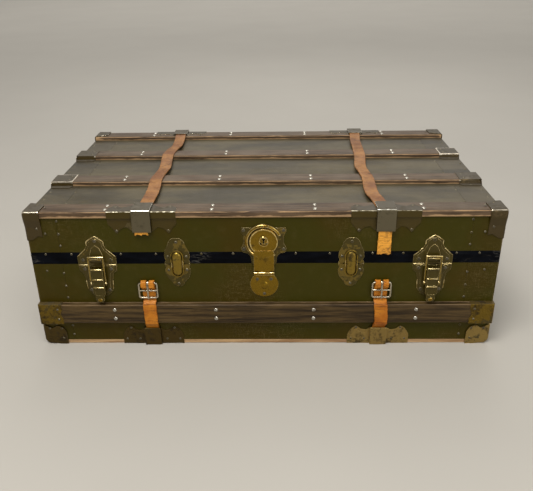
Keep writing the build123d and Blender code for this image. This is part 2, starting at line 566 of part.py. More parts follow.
END_CLAMP_L = 45.0
END_CLAMP_DROP = 24.0
FOOT_OUT = 13.0
FOOT_CHAMFER = 6.0
FOOT_CORNER = 4.0
with BuildPart() as lid_slat_clamps:
    side_y = (-MIDDLE_SLAT_Y - SLAT_W / 2 - SHEET, -MIDDLE_SLAT_Y + SLAT_W / 2 + SHEET)
    block((OUT_X - END_CLAMP_L, OUT_X + SHEET), side_y, (PANEL_TOP_Z - END_CLAMP_DROP, SLAT_TOP_Z + SHEET))
    near, far = OUT_X - END_CLAMP_L, OUT_X - FOOT_CHAMFER
    foot = [(near + FOOT_CHAMFER, side_y[0] - FOOT_OUT), (far - FOOT_CHAMFER, side_y[0] - FOOT_OUT),
            (far, side_y[0] - FOOT_CHAMFER), (far, side_y[1] + FOOT_CHAMFER),
            (far - FOOT_CHAMFER, side_y[1] + FOOT_OUT), (near + FOOT_CHAMFER, side_y[1] + FOOT_OUT),
            (near, side_y[1] + FOOT_CHAMFER), (near, side_y[0] - FOOT_CHAMFER)]
    prism(Plane.XY.offset(PANEL_TOP_Z), foot, SHEET, FOOT_CORNER)
    block((0, OUT_X), (-OUT_Y, 0), (0, PANEL_TOP_Z), mode=Mode.SUBTRACT)
    block((0, OUT_X), (side_y[0] + SHEET, side_y[1] - SHEET), (PANEL_TOP_Z, SLAT_TOP_Z), mode=Mode.SUBTRACT)
    mirror(about=Plane.YZ)
    mirror(about=Plane.XZ)
lid_slat_clamps.part.label = "lid_slat_clamps"
export_step(lid_slat_clamps.part, "parts/lid_slat_clamps.step")

# ---------------------------------------------------------------- lid: corners and strap loops
PROUD = 2.6                # the pressed corners stand off the box so that their own corner can be round
FLAT_LOBES = [(0, 0), (33, 0), (33, 12), (47, 20), (49, 29), (41, 37), (28, 38), (16, 44), (0, 48)]
DROP_LOBES = [(0, 0), (33, 0), (33, 18), (46, 38), (47, 48), (37, 55), (25, 52), (13, 60), (0, 63)]
with BuildPart() as top_corners:
    top_z = SLAT_TOP_Z + PROUD
    face_y = -OUT_Y - SLAT_LIP - PROUD
    side = [(face_y, top_z), (face_y, 283), (-OUT_Y - 1.8, 266), (-OUT_Y - 1.8, 230), (face_y + 52, 230),
            (face_y + 52, top_z)]
    prism(Plane.YZ.offset(OUT_X + PROUD - 55), side, 55)
    upright = top_corners.edges().filter_by(Axis.Z).group_by(Axis.Y)[0].sort_by(Axis.X)[-1]
    fillet(upright, 5.0)
    fillet(top_corners.faces().sort_by(Axis.Z)[-1].edges().sort_by(Axis.Y)[:-1].sort_by(Axis.X)[1:], 4.0)
    far_x = OUT_X + PROUD
    prism(Plane.XY, [(far_x + 3 - a - 3 * (a > 0), face_y - 3 + b + 3 * (b > 0)) for a, b in FLAT_LOBES],
          400, 1.5, Mode.INTERSECT)
    prism(Plane.XZ, [(far_x + 3 - a - 3 * (a > 0), top_z + 3 - b - 3 * (b > 0)) for a, b in DROP_LOBES],
          400, 1.5, Mode.INTERSECT)
    block((0, OUT_X), (-OUT_Y, 0), (0, PANEL_TOP_Z), mode=Mode.SUBTRACT)
    block((0, OUT_X), (-OUT_Y - SLAT_LIP, -OUT_Y - SLAT_LIP + SLAT_W), (lip_z, SLAT_TOP_Z),
          mode=Mode.SUBTRACT)
    mirror(about=Plane.YZ)
    mirror(about=Plane.XZ)
top_corners.part.label = "top_corners"
export_step(top_corners.part, "parts/top_corners.step")

WING_FRONT = mirrored([(0, 320), (66, 320), (66, 272), (58, 264), (50, 251), (42, 262), (30, 266), (20, 257),
                       (0, 257)])
WING_TOP = mirrored([(0, -320), (66, -320), (66, -264), (54, -252), (41, -262), (28, -257), (18, -248),
                     (0, -248)])
with BuildPart() as lid_strap_loops:
    slat_face = -OUT_Y - SLAT_LIP
    sheet_path = [(-245, SLAT_TOP_Z), (-245, SLAT_TOP_Z + SHEET), (slat_face - SHEET, SLAT_TOP_Z + SHEET),
                  (slat_face - SHEET, lip_z - SHEET), (-OUT_Y - SHEET, lip_z - SHEET), (-OUT_Y - SHEET, 245),
                  (-OUT_Y, 245), (-OUT_Y, lip_z), (slat_face, lip_z), (slat_face, SLAT_TOP_Z)]
    prism(Plane.YZ.offset(STRAP_X - 70), sheet_path, 140)
    prism(Plane.XZ, [(STRAP_X + x, z) for x, z in WING_FRONT], 400, 2.0, Mode.INTERSECT)
    prism(Plane.XY, [(STRAP_X + x, y) for x, y in WING_TOP], 400, 2.0, Mode.INTERSECT)
    bridge_out = STRAP_T + 1.0 + LOOP_METAL
    bridge_low = 257.0
    bridge = [(-247, SLAT_TOP_Z), (-247, SLAT_TOP_Z + bridge_out),
              (slat_face - bridge_out + 4, SLAT_TOP_Z + bridge_out),
              (slat_face - bridge_out, SLAT_TOP_Z + bridge_out - 4), (slat_face - bridge_out, bridge_low),
              (-OUT_Y, bridge_low), (-OUT_Y, lip_z), (slat_face, lip_z), (slat_face, SLAT_TOP_Z)]
    prism(Plane.YZ.offset(STRAP_X - LOOP_W / 2), bridge, LOOP_W)
    channel_out = bridge_out - LOOP_METAL
    channel = [(-230, SLAT_TOP_Z), (-230, SLAT_TOP_Z + channel_out),
               (slat_face - channel_out + 3.4, SLAT_TOP_Z + channel_out),
               (slat_face - channel_out, SLAT_TOP_Z + channel_out - 3.4), (slat_face - channel_out, 240),
               (-OUT_Y, 240), (-OUT_Y, lip_z), (slat_face, lip_z), (slat_face, SLAT_TOP_Z)]
    prism(Plane.YZ.offset(STRAP_X - 15.5), channel, 31, mode=Mode.SUBTRACT)
    mirror(about=Plane.YZ)
    mirror(about=Plane.XZ)
lid_strap_loops.part.label = "lid_strap_loops"
export_step(lid_strap_loops.part, "parts/lid_strap_loops.step")

# ---------------------------------------------------------------- lid: upper straps
# From the joint line at the back, over the top, and out of the front loop to a cut end.
over_y = OUT_Y + SLAT_LIP + half_t + 0.2
over_z = SLAT_TOP_Z + half_t
for name, x, end_z in (("left", -STRAP_X, 250.0), ("right", STRAP_X, 208.0)):
    with BuildPart() as upper_strap:
        run = [(skin_y, LID_BOTTOM + 0.2), (skin_y, 232), (over_y, 256), (over_y, over_z), (-over_y, over_z),
               (-over_y, end_z)]
        strap(run, x)
    upper_strap.part.label = f"upper_strap_{name}"
    export_step(upper_strap.part, f"parts/upper_strap_{name}.step")

# ---------------------------------------------------------------- lid: draw bolt keepers, dowel tongues
LEDGE_Z = 202.5
LEDGE_T = 3.0
LEDGE_HALF_W = 11.0
LEDGE_OUT = 13.0
KEEPER_OUTLINE = mirrored([(0, 247), (8, 243), (17, 236), (17, 227), (21, 219), (38, 203), (38, LID_BOTTOM),
                           (0, LID_BOTTOM)])
with BuildPart() as draw_bolt_keepers:
    prism(FRONT, [(DRAW_BOLT_X + x, z) for x, z in KEEPER_OUTLINE], LOOP_METAL)
    block((DRAW_BOLT_X - LEDGE_HALF_W, DRAW_BOLT_X + LEDGE_HALF_W),
          (-OUT_Y - LEDGE_OUT, -OUT_Y - LOOP_METAL), (LEDGE_Z - LEDGE_T, LEDGE_Z))
    mirror(about=Plane.YZ)
draw_bolt_keepers.part.label = "draw_bolt_keepers"
export_step(draw_bolt_keepers.part, "parts/draw_bolt_keepers.step")

with BuildPart() as dowel_tongues:
    with BuildSketch(FRONT) as oval:
        with Locations((DOWEL_X, DOWEL_MIDDLE_Z)):
            Ellipse(DOWEL_HALF_W, DOWEL_HALF_H)
    extrude(oval.sketch, amount=LOOP_METAL)
    block(capsule_x, (-OUT_Y - CAPSULE_OUT, -OUT_Y), (SEAM_Z - CAPSULE_ROUND, CAPSULE_Z[1]))
    fillet(dowel_tongues.edges().filter_by(Axis.Z).group_by(Axis.Y)[0], CAPSULE_ROUND)
    fillet(dowel_tongues.edges().filter_by(Axis.X).group_by(Axis.Y)[0].sort_by(Axis.Z)[-1], CAPSULE_ROUND)
    block((0, OUT_X), (-FAR, 0), (0, LID_BOTTOM), mode=Mode.SUBTRACT)
    block((DOWEL_X - TONGUE_HALF_W, DOWEL_X + TONGUE_HALF_W), TONGUE_Y, (TONGUE_LOW_Z, LID_BOTTOM))
    mirror(about=Plane.YZ)
dowel_tongues.part.label = "dowel_tongues"
export_step(dowel_tongues.part, "parts/dowel_tongues.step")

# ---------------------------------------------------------------- lid: lock receiver
RING_Z = 234.0
RING_R = (30.5, 37.0)
RING_H = 5.5
MOUTH_HALF_W = 25.0           # the ring is open below, where the hasp's arm passes
MOUTH_TOP_Z = 214.0
SLOT_HALF_W = 7.0
SLOT_Z = (218.0, 231.0)       # where the hasp's staple enters
RECEIVER_OUTLINE = mirrored([(0, 262), (42, 264), (44, 256), (38, 246), (38, 230), (44, 220), (42, 211),
                             (30, 208), (25, 200), (24, LID_BOTTOM), (0, LID_BOTTOM)])
with BuildPart() as lock_receiver:
    prism(FRONT, RECEIVER_OUTLINE, LOOP_METAL)
    disc(FRONT, (0, RING_Z), RING_R[1], RING_H)
    disc(FRONT.offset(LOOP_METAL), (0, RING_Z), RING_R[0], RING_H, Mode.SUBTRACT)
    block((-MOUTH_HALF_W, MOUTH_HALF_W), (-OUT_Y - RING_H, -OUT_Y - LOOP_METAL), (LID_BOTTOM, MOUTH_TOP_Z),
          mode=Mode.SUBTRACT)
    block((-SLOT_HALF_W, SLOT_HALF_W), (-OUT_Y - LOOP_METAL, -OUT_Y), SLOT_Z, mode=Mode.SUBTRACT)
lock_receiver.part.label = "lock_receiver"
export_step(lock_receiver.part, "parts/lock_receiver.step")

# ---------------------------------------------------------------- lid: moving half of the hinges
with BuildPart() as hinge_lid_leaves:
    for x in hinge_places:
        block((x - HINGE_HALF_W, x + HINGE_HALF_W), (OUT_Y, OUT_Y + LOOP_METAL), HIGH_LEAF_Z)
        disc(Plane.YZ.offset(x - HINGE_MID), (HINGE_AXIS_Y, SEAM_Z), HINGE_KNUCKLE_R, 2 * HINGE_MID)
        block((x - HINGE_MID, x + HINGE_MID), (OUT_Y, HINGE_AXIS_Y), (LID_BOTTOM, SEAM_Z + HINGE_KNUCKLE_R))
        disc(Plane.YZ.offset(x - HINGE_MID), (HINGE_AXIS_Y, SEAM_Z), HINGE_PIN_R + RUNNING, 2 * HINGE_MID,
             Mode.SUBTRACT)
hinge_lid_leaves.part.label = "hinge_lid_leaves"
export_step(hinge_lid_leaves.part, "parts/hinge_lid_leaves.step")

# ---------------------------------------------------------------- lock hasp and its key plug
PLUG_Z = 238.0
PLUG_R = 8.0
HASP_BACK = 2.0               # back of the hasp, out from the case
HASP_T = 3.0
HASP_MID = 10.6               # half the length of its own knuckle
STAPLE_HALF_W = 5.0
STAPLE_Z = (220.0, 229.0)
with BuildPart() as lock_hasp:
    hasp_plane = FRONT.offset(HASP_BACK)
    hasp_y = (-OUT_Y - HASP_BACK - HASP_T, -OUT_Y - HASP_BACK)
    disc(hasp_plane, (0, RING_Z), LOCK_R, HASP_T)
    block((-HASP_HALF_W, HASP_HALF_W), hasp_y, (HASP_Z + 4.5, SLOT_Z[0] - 2))
    disc(Plane.YZ.offset(-HASP_MID), (HASP_Y, HASP_Z), KNUCKLE_R, 2 * HASP_MID)
    block((-HASP_MID, HASP_MID), hasp_y, (HASP_Z, HASP_Z + 5))
    disc(Plane.YZ.offset(-HASP_MID), (HASP_Y, HASP_Z), HASP_PIN_R + RUNNING, 2 * HASP_MID, Mode.SUBTRACT)
    block((-STAPLE_HALF_W, STAPLE_HALF_W), (-OUT_Y - HASP_BACK, -OUT_Y - 0.5), STAPLE_Z)
    disc(hasp_plane, (0, PLUG_Z), PLUG_R + RUNNING, HASP_T, Mode.SUBTRACT)
lock_hasp.part.label = "lock_hasp"
export_step(lock_hasp.part, "parts/lock_hasp.step")

PLUG_T = 3.6
KEYHOLE_UP = 2.2
KEYHOLE_R = 2.0
KEYHOLE_SLIT = 0.9
with BuildPart() as lock_plug:
    disc(hasp_plane, (0, PLUG_Z), PLUG_R, PLUG_T)
    disc(FRONT.offset(HASP_BACK + 2), (0, PLUG_Z + KEYHOLE_UP), KEYHOLE_R, PLUG_T, Mode.SUBTRACT)
    block((-KEYHOLE_SLIT, KEYHOLE_SLIT), (-OUT_Y - 7, -OUT_Y - HASP_BACK - 2), (PLUG_Z - 4.5, PLUG_Z + 2),
          mode=Mode.SUBTRACT)
lock_plug.part.label = "lock_plug"
export_step(lock_plug.part, "parts/lock_plug.step")

# ---------------------------------------------------------------- draw bolt levers and bails
LEVER_FACE_Y = LEVER_Y - 5.0
BAIL_TOP_Z = LEDGE_Z + 0.3 + 2.2
BAIL_BAR_R = 2.2
LEVER_HALF_W = 12.0
CHEEK_T = 1.5
LEVER_TOP_Z = LEVER_Z + 6.0
TRUNNION_X = (11.0, 16.6)
BAIL_ARM_X = (13.0, 16.0)
BAIL_EYE_R = 3.4
for name, x in (("left", -DRAW_BOLT_X), ("right", DRAW_BOLT_X)):
    with BuildPart() as lever:
        block((x - LEVER_HALF_W, x + LEVER_HALF_W), (LEVER_FACE_Y, LEVER_FACE_Y + LOOP_METAL),
              (125, LEVER_TOP_Z))
        thumb = mirrored([(LEVER_HALF_W, 126), (8.5, 120), (8.5, 110), (5, 107)])
        prism(Plane.XZ.offset(-LEVER_FACE_Y - LOOP_METAL), [(x + dx, z) for dx, z in thumb], LOOP_METAL)
        for side in (-1, 1):
            cheek = sorted((x + side * (LEVER_HALF_W - CHEEK_T), x + side * LEVER_HALF_W))
            block(cheek, (LEVER_FACE_Y, LEVER_Y + EAR_R), (126, LEVER_TOP_Z))
            disc(Plane.YZ.offset(cheek[0]), (LEVER_Y, BAIL_Z), EAR_R, CHEEK_T)
            trunnion = sorted(x + side * reach for reach in TRUNNION_X)
            disc(Plane.YZ.offset(trunnion[0]), (LEVER_Y, BAIL_Z), PIN_R, trunnion[1] - trunnion[0])
        disc(Plane.YZ.offset(x - LEVER_HALF_W - 1), (LEVER_Y, LEVER_Z), PIN_R + RUNNING,
             2 * LEVER_HALF_W + 2, Mode.SUBTRACT)
    lever.part.label = f"draw_bolt_lever_{name}"
    export_step(lever.part, f"parts/draw_bolt_lever_{name}.step")

    with BuildPart() as bail:
        for side in (-1, 1):
            arm = sorted(x + side * reach for reach in BAIL_ARM_X)
            block(arm, (LEVER_Y - BAIL_BAR_R, LEVER_Y + BAIL_BAR_R), (BAIL_Z, BAIL_TOP_Z))
            disc(Plane.YZ.offset(arm[0]), (LEVER_Y, BAIL_Z), BAIL_EYE_R, arm[1] - arm[0])
            disc(Plane.YZ.offset(arm[0]), (LEVER_Y, BAIL_Z), PIN_R + RUNNING, arm[1] - arm[0], Mode.SUBTRACT)
        disc(Plane.YZ.offset(x - BAIL_ARM_X[1]), (LEVER_Y, BAIL_TOP_Z), BAIL_BAR_R, 2 * BAIL_ARM_X[1])
    bail.part.label = f"draw_bolt_bail_{name}"
    export_step(bail.part, f"parts/draw_bolt_bail_{name}.step")

# ---------------------------------------------------------------- buckles
BUCKLE_W = 40.0
BUCKLE_H = 37.0
WIRE_R = 2.2
BAR_W = 4.0
for name, x in (("left", -STRAP_X), ("right", STRAP_X)):
    with BuildPart() as frame:
        plate_y = (BUCKLE_Y - WIRE_R + 0.2, BUCKLE_Y + WIRE_R - 0.2)
        half_w = BUCKLE_W / 2
        low_z = BUCKLE_Z + WIRE_R - BUCKLE_H
        block((x - half_w, x + half_w), plate_y, (low_z, BUCKLE_Z + WIRE_R))
        fillet(frame.edges().filter_by(Axis.Y), 5.0)
        mid_z = (low_z + BUCKLE_Z) / 2 + 0.5
        inside = (x - half_w + BAR_W, x + half_w - BAR_W)
        block(inside, plate_y, (low_z + BAR_W, mid_z - BAR_W / 2), mode=Mode.SUBTRACT)
        block(inside, plate_y, (mid_z + BAR_W / 2, BUCKLE_Z + 5), mode=Mode.SUBTRACT)
        disc(Plane.YZ.offset(inside[0] - 1), (BUCKLE_Y, BUCKLE_Z), WIRE_R, inside[1] - inside[0] + 2)
    frame.part.label = f"buckle_frame_{name}"
    export_step(frame.part, f"parts/buckle_frame_{name}.step")

    with BuildPart() as prong:
        prong_y = BUCKLE_Y - WIRE_R - 1.8
        block((x - 1.8, x + 1.8), (prong_y - 1.4, prong_y + 1.4), (low_z + 0.3, BUCKLE_Z + 2))
        disc(Plane.YZ.offset(x - 2.6), (BUCKLE_Y, BUCKLE_Z), 4.2, 5.2)
        disc(Plane.YZ.offset(x - 3), (BUCKLE_Y, BUCKLE_Z), WIRE_R + RUNNING, 6, Mode.SUBTRACT)
    prong.part.label = f"buckle_prong_{name}"
    export_step(prong.part, f"parts/buckle_prong_{name}.step")

# ---------------------------------------------------------------- lift-out tray
TRAY_X = IN_X - LIP_T - 2.0
TRAY_Y = IN_Y - LIP_T - 2.0
TRAY_WALL = 8.0
TRAY_FLOOR_Z = TRAY_REST_Z + 4.0
TRAY_TOP_Z = 167.0
with BuildPart() as tray_walls:
    wall_z = (TRAY_FLOOR_Z, TRAY_TOP_Z)
    end_y = TRAY_Y - TRAY_WALL - STRIP_GAP
    for side in (-1, 1):
        block((-TRAY_X, TRAY_X), sorted((side * TRAY_Y, side * (TRAY_Y - TRAY_WALL))), wall_z)
        block(sorted((side * TRAY_X, side * (TRAY_X - TRAY_WALL))), (-end_y, end_y), wall_z)
tray_walls.part.label = "tray_walls"
export_step(tray_walls.part, "parts/tray_walls.step")

with BuildPart() as tray_bottom:
    block((-TRAY_X, TRAY_X), (-TRAY_Y, TRAY_Y), (TRAY_REST_Z, TRAY_FLOOR_Z))
tray_bottom.part.label = "tray_bottom"
export_step(tray_bottom.part, "parts/tray_bottom.step")

with BuildPart() as tray_divider:
    block((120, 127), (-TRAY_Y + TRAY_WALL, TRAY_Y - TRAY_WALL), (TRAY_FLOOR_Z, TRAY_TOP_Z - 4))
tray_divider.part.label = "tray_divider"
export_step(tray_divider.part, "parts/tray_divider.step")

with BuildPart() as tray_pull_tabs:
    block((TRAY_X - TRAY_WALL - 2.0, TRAY_X - TRAY_WALL), (-16, 16), (TRAY_FLOOR_Z + 14, TRAY_TOP_Z + 18))
    fillet(tray_pull_tabs.edges().filter_by(Axis.X), 6.0)
    mirror(about=Plane.YZ)
tray_pull_tabs.part.label = "tray_pull_tabs"
export_step(tray_pull_tabs.part, "parts/tray_pull_tabs.step")
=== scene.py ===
"""Slatted steamer trunk: the finished look of every piece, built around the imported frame.

Sizes are in millimetres and become metres when a mesh is made.  +X is to the right when facing the
front, the front looks towards -Y, and the floor is at zero height.
"""
import json
import logging
import math
import random
from contextlib import contextmanager
from dataclasses import dataclass, field
from enum import Enum
from functools import cached_property
from typing import Callable, Iterator, Mapping, Sequence

import bmesh
import bpy
from mathutils import Matrix, Vector

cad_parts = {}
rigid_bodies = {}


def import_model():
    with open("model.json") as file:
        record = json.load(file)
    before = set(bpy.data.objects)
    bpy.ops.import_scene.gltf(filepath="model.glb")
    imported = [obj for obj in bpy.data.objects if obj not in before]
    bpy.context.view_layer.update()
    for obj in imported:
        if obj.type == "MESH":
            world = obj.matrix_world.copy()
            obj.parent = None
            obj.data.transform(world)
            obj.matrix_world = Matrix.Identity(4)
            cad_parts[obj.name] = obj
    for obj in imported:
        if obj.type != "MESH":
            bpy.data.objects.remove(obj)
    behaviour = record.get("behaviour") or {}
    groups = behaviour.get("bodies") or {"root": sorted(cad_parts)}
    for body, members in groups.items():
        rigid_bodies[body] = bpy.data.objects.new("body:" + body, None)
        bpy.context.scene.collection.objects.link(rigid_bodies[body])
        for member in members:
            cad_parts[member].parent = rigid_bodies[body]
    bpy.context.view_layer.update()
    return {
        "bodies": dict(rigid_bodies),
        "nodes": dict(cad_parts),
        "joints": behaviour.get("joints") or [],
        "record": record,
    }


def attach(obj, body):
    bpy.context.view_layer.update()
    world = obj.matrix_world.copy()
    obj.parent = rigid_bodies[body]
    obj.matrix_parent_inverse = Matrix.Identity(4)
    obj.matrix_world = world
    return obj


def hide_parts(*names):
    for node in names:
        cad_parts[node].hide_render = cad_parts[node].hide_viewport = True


LOG = logging.getLogger("trunk")
MM = 0.001
Pair = tuple[float, float]
Outline = tuple[Pair, ...]
Triple = tuple[float, float, float]
Colour = tuple[float, float, float]
Thing = bpy.types.Object
Material = bpy.types.Material

OUT_X = 457.0
OUT_Y = 280.0
SEAM_Z = 186.5
PANEL_Z = 288.5
SLAT_Z = 297.5
SLAT_W = 45.0
MIDDLE_Y = 91.0
SLAT_FACE = 283.0
WAIST_FACE = 292.0
WAIST_LOW, WAIST_HIGH = 56.0, 99.0
STRAP_X = 232.0
BOLT_X = 328.0
DOWEL_X = 170.0
HINGE_X = 330.0
BAND_Z = 207.5
NAIL_COLUMNS = (-303.0, -98.3, 98.3, 303.0)
SIDES = (-1, 1)
ALONG = 0.9
SHEET = 1.2
PLATE = 1.5


class Face(Enum):
    """A side of the trunk that an outline is drawn on: its two drawing axes and the way out."""

    FRONT = ((1, 0, 0), (0, 0, 1), (0, -1, 0))
    TOP = ((1, 0, 0), (0, 1, 0), (0, 0, 1))
    END = ((0, 1, 0), (0, 0, 1), (1, 0, 0))

    @property
    def out(self) -> Vector:
        """The way out of the trunk on this side."""
        return Vector(self.value[2])

    def place(self, point: Pair, depth: float) -> Vector:
        """Turn a point of a drawing and its depth, in mm, into a place in metres."""
        across, up, out = (Vector(axis) for axis in self.value)
        return (across * point[0] + up * point[1] + out * depth) * MM


FRONT, TOP, END = Face


class Blend(Enum):
    """How one solid is combined with another."""

    ADD = "UNION"
    CUT = "DIFFERENCE"
    COMMON = "INTERSECT"


def mirrored(points: Sequence[Pair], middle: float = 0.0) -> list[Pair]:
    """Complete a symmetrical outline from its right half, listed from top to bottom."""
    return shifted(list(points) + [(-x, y) for x, y in reversed(points) if x], middle)


def shifted(points: Sequence[Pair], across: float, up: float = 0.0) -> list[Pair]:
    """Move an outline sideways and upwards."""
    return [(x + across, y + up) for x, y in points]


# ---- modelling
class Bench:
    """Modelling with operators, one piece in hand at a time."""

    @staticmethod
    def pick_up(*things: Thing) -> None:
        """Select only these things, and make the last one active."""
        bpy.ops.object.select_all(action="DESELECT")
        for thing in things:
            thing.select_set(True)
            bpy.context.view_layer.objects.active = thing

    @staticmethod
    @contextmanager
    def edit(thing: Thing, mode: str = "FACE") -> Iterator[None]:
        """Work on a thing's mesh in edit mode.

        Args:
            thing: the piece in hand.
            mode: the kind of element that is picked: VERT, EDGE or FACE.
        """
        Bench.pick_up(thing)
        bpy.ops.object.mode_set(mode="EDIT")
        bpy.ops.mesh.select_mode(type=mode)
        yield
        bpy.ops.object.mode_set(mode="OBJECT")

    @staticmethod
    def choose(thing: Thing, kind: str, test: Callable[..., bool]) -> int:
        """Select the elements that pass a test, in edit mode.

        Args:
            thing: the piece in hand.
            kind: verts, edges or faces.
            test: called with a vertex's place, with an edge's middle and direction, or with a face's
                middle and normal; places are in mm.
        Returns:
            How many were selected.
        """
        bpy.ops.mesh.select_all(action="DESELECT")
        mesh = bmesh.from_edit_mesh(thing.data)
        mesh.normal_update()
        count = 0
        for item in getattr(mesh, kind):
            if kind == "verts":
                facts = (item.co / MM,)
            elif kind == "edges":
                start, end = (v.co for v in item.verts)
                facts = ((start + end) / 2 / MM, (end - start).normalized())
            else:
                facts = (item.calc_center_median() / MM, item.normal)
            if test(*facts):
                item.select_set(True)
                count += 1
        bmesh.update_edit_mesh(thing.data)
        return count

    @staticmethod
    def everything() -> None:
        """Select the whole mesh, in edit mode."""
        bpy.ops.mesh.select_all(action="SELECT")

    @staticmethod
    def settle(thing: Thing, name: str = "") -> Thing:
        """Put a thing's place into its mesh.

        Args:
            thing: the piece in hand.
            name: its new name, if any.
        Returns:
            The same thing.
        """
        Bench.pick_up(thing)
        bpy.ops.object.transform_apply(location=True, rotation=True, scale=True)
        if name:
            thing.name = name
        return thing

    @staticmethod
    def outward(thing: Thing) -> None:
        """Merge doubles and point every face outwards."""
        with Bench.edit(thing):
            Bench.everything()
            bpy.ops.mesh.remove_doubles(threshold=0.00001)
            bpy.ops.mesh.normals_make_consistent(inside=False)

    @staticmethod
    def draw(places: Sequence[Vector]) -> Thing:
        """Draw an open line point by point.

        Args:
            places: its points, in metres.
        Returns:
            A thing of edges only.
        """
        bpy.ops.mesh.primitive_plane_add(size=MM, location=places[0])
        thing = Bench.settle(bpy.context.object)
        with Bench.edit(thing, "VERT"):
            Bench.everything()
            bpy.ops.mesh.merge(type="CENTER")
            for before, place in zip(places, places[1:]):
                bpy.ops.mesh.extrude_vertices_move(TRANSFORM_OT_translate={"value": place - before})
        return thing

    @staticmethod
    def trace(outline: Sequence[Pair], face: Face, depth: float, corner: float = 0.0) -> Thing:
        """Draw a closed outline point by point and fill it.

        Args:
            outline: the corners, in mm.
            face: the side it is drawn on.
            depth: how far out it lies.
            corner: radius that rounds every corner.
        Returns:
            A flat thing of one face.
        """
        thing = Bench.draw([face.place(point, depth) for point in outline])
        with Bench.edit(thing, "VERT"):
            ends = [face.place(outline[i], depth) / MM for i in (0, -1)]
            Bench.choose(thing, "verts", lambda place: any((place - end).length < 0.001 for end in ends))
            bpy.ops.mesh.edge_face_add()
            Bench.everything()
            bpy.ops.mesh.edge_face_add()
            if corner:
                bpy.ops.mesh.bevel(offset=corner * MM, segments=4, affect="VERTICES", clamp_overlap=True)
        return thing

    @staticmethod
    def thicken(thing: Thing, face: Face, amount: float, rim: float = 0.0) -> Thing:
        """Extrude a flat thing outwards and round its outer rim.

        Args:
            thing: a flat thing.
            face: the side it is drawn on.
            amount: how far it is extruded, in mm.
            rim: radius of its outer edge.
        Returns:
            The same thing, now solid.
        """
        with Bench.edit(thing):
            Bench.everything()
            bpy.ops.mesh.extrude_region_move(TRANSFORM_OT_translate={"value": face.out * amount * MM})
            Bench.everything()
            bpy.ops.mesh.normals_make_consistent(inside=False)
            if rim:
                mesh = bmesh.from_edit_mesh(thing.data)
                high = max(v.co @ face.out for v in mesh.verts) / MM
                Bench.choose(thing, "faces", lambda middle, normal: normal @ face.out > 0.99 and middle @
                    face.out > high - 0.01)
                bpy.ops.mesh.bevel(offset=rim * MM, segments=2, affect="EDGES", clamp_overlap=True)
        return thing

    @staticmethod
    def plate(outline: Sequence[Pair], face: Face, base: float, amount: float, corner: float = 0.0,
            rim: float = 0.4) -> Thing:
        """Make a plate from an outline, with its corners and its outer rim rounded."""
        return Bench.thicken(Bench.trace(outline, face, base, corner), face, amount, rim)

    @staticmethod
    def bar(section: Sequence[Pair], face: Face, start: float, length: float) -> Thing:
        """Extrude a section, with sharp corners and edges."""
        return Bench.thicken(Bench.trace(section, face, start), face, length)

    @staticmethod
    def disc(centre: Pair, radii: Pair, face: Face, base: float, amount: float, rim: float = 0.4,
            sides: int = 48) -> Thing:
        """Make a round or oval plate.

        Args:
            centre: its middle on the drawing.
            radii: its two half sizes.
            face: the side it is drawn on.
            base: depth of its inner face.
            amount: thickness.
            rim: radius of its outer edge.
            sides: how many sides stand for the curve.
        Returns:
            The plate.
        """
        turns = {FRONT: (math.pi / 2, 0, 0), TOP: (0, 0, 0), END: (math.pi / 2, 0, math.pi / 2)}
        bpy.ops.mesh.primitive_circle_add(vertices=sides, radius=MM, fill_type="NGON",
            location=face.place(centre, base), rotation=turns[face])
        bpy.context.object.scale = (radii[0], radii[1], 1)
        return Bench.thicken(Bench.settle(bpy.context.object), face, amount, rim)

    @staticmethod
    def block(x: Pair, y: Pair, z: Pair, bevel: float = 0.0, segments: int = 2, where: Callable[...,
            bool] | None = None) -> Thing:
        """Make a block, with some of its edges rounded.

        Args:
            x: its low and high limits along the trunk.
            y: its limits from front to back.
            z: its limits in height.
            bevel: radius of the rounded edges.
            segments: how many strips a rounded edge has.
            where: picks the edges by middle and direction; every edge if left out.
        Returns:
            The block.
        """
        middle = Vector([(low + high) / 2 for low, high in (x, y, z)]) * MM
        bpy.ops.mesh.primitive_cube_add(size=1, location=middle)
        bpy.context.object.scale = [(high - low) * MM for low, high in (x, y, z)]
        thing = Bench.settle(bpy.context.object)
        if bevel:
            Bench.round_edges(thing, bevel, segments, where)
        return thing

    @staticmethod
    def round_edges(thing: Thing, radius: float, segments: int = 2, where: Callable[..., bool] | None =
            None) -> None:
        """Bevel the edges that pass a test.

        Args:
            thing: the piece in hand.
            radius: radius of the rounded edges.
            segments: how many strips a rounded edge has.
            where: picks the edges by middle and direction; every edge if left out.
        """
        with Bench.edit(thing, "EDGE"):
            if Bench.choose(thing, "edges", where or (lambda middle, way: True)):
                bpy.ops.mesh.bevel(offset=radius * MM, segments=segments, affect="EDGES", clamp_overlap=True)

    @staticmethod
    def rod(start: Triple, end: Triple, radius: float, sides: int = 20, rim: float = 0.5) -> Thing:
        """Make a round bar with softened ends.

        Args:
            start: the middle of one end.
            end: the middle of the other end.
            radius: its radius.
            sides: how many sides stand for the curve.
            rim: radius of the ends' edges.
        Returns:
            The bar.
        """
        first, last = Vector(start) * MM, Vector(end) * MM
        way = last - first
        bpy.ops.mesh.primitive_cylinder_add(vertices=sides, radius=radius * MM, depth=way.length,
            location=(first + last) / 2, rotation=way.to_track_quat("Z", "Y").to_euler())
        thing = Bench.settle(bpy.context.object)
        axis, reach, centre = way.normalized(), way.length / 2 / MM, (first + last) / 2 / MM
        Bench.round_edges(thing, rim, 2, lambda middle, run: abs(run @ axis) < 0.1 and
            abs(abs((middle - centre) @ axis) - reach) < 0.01)
        return thing

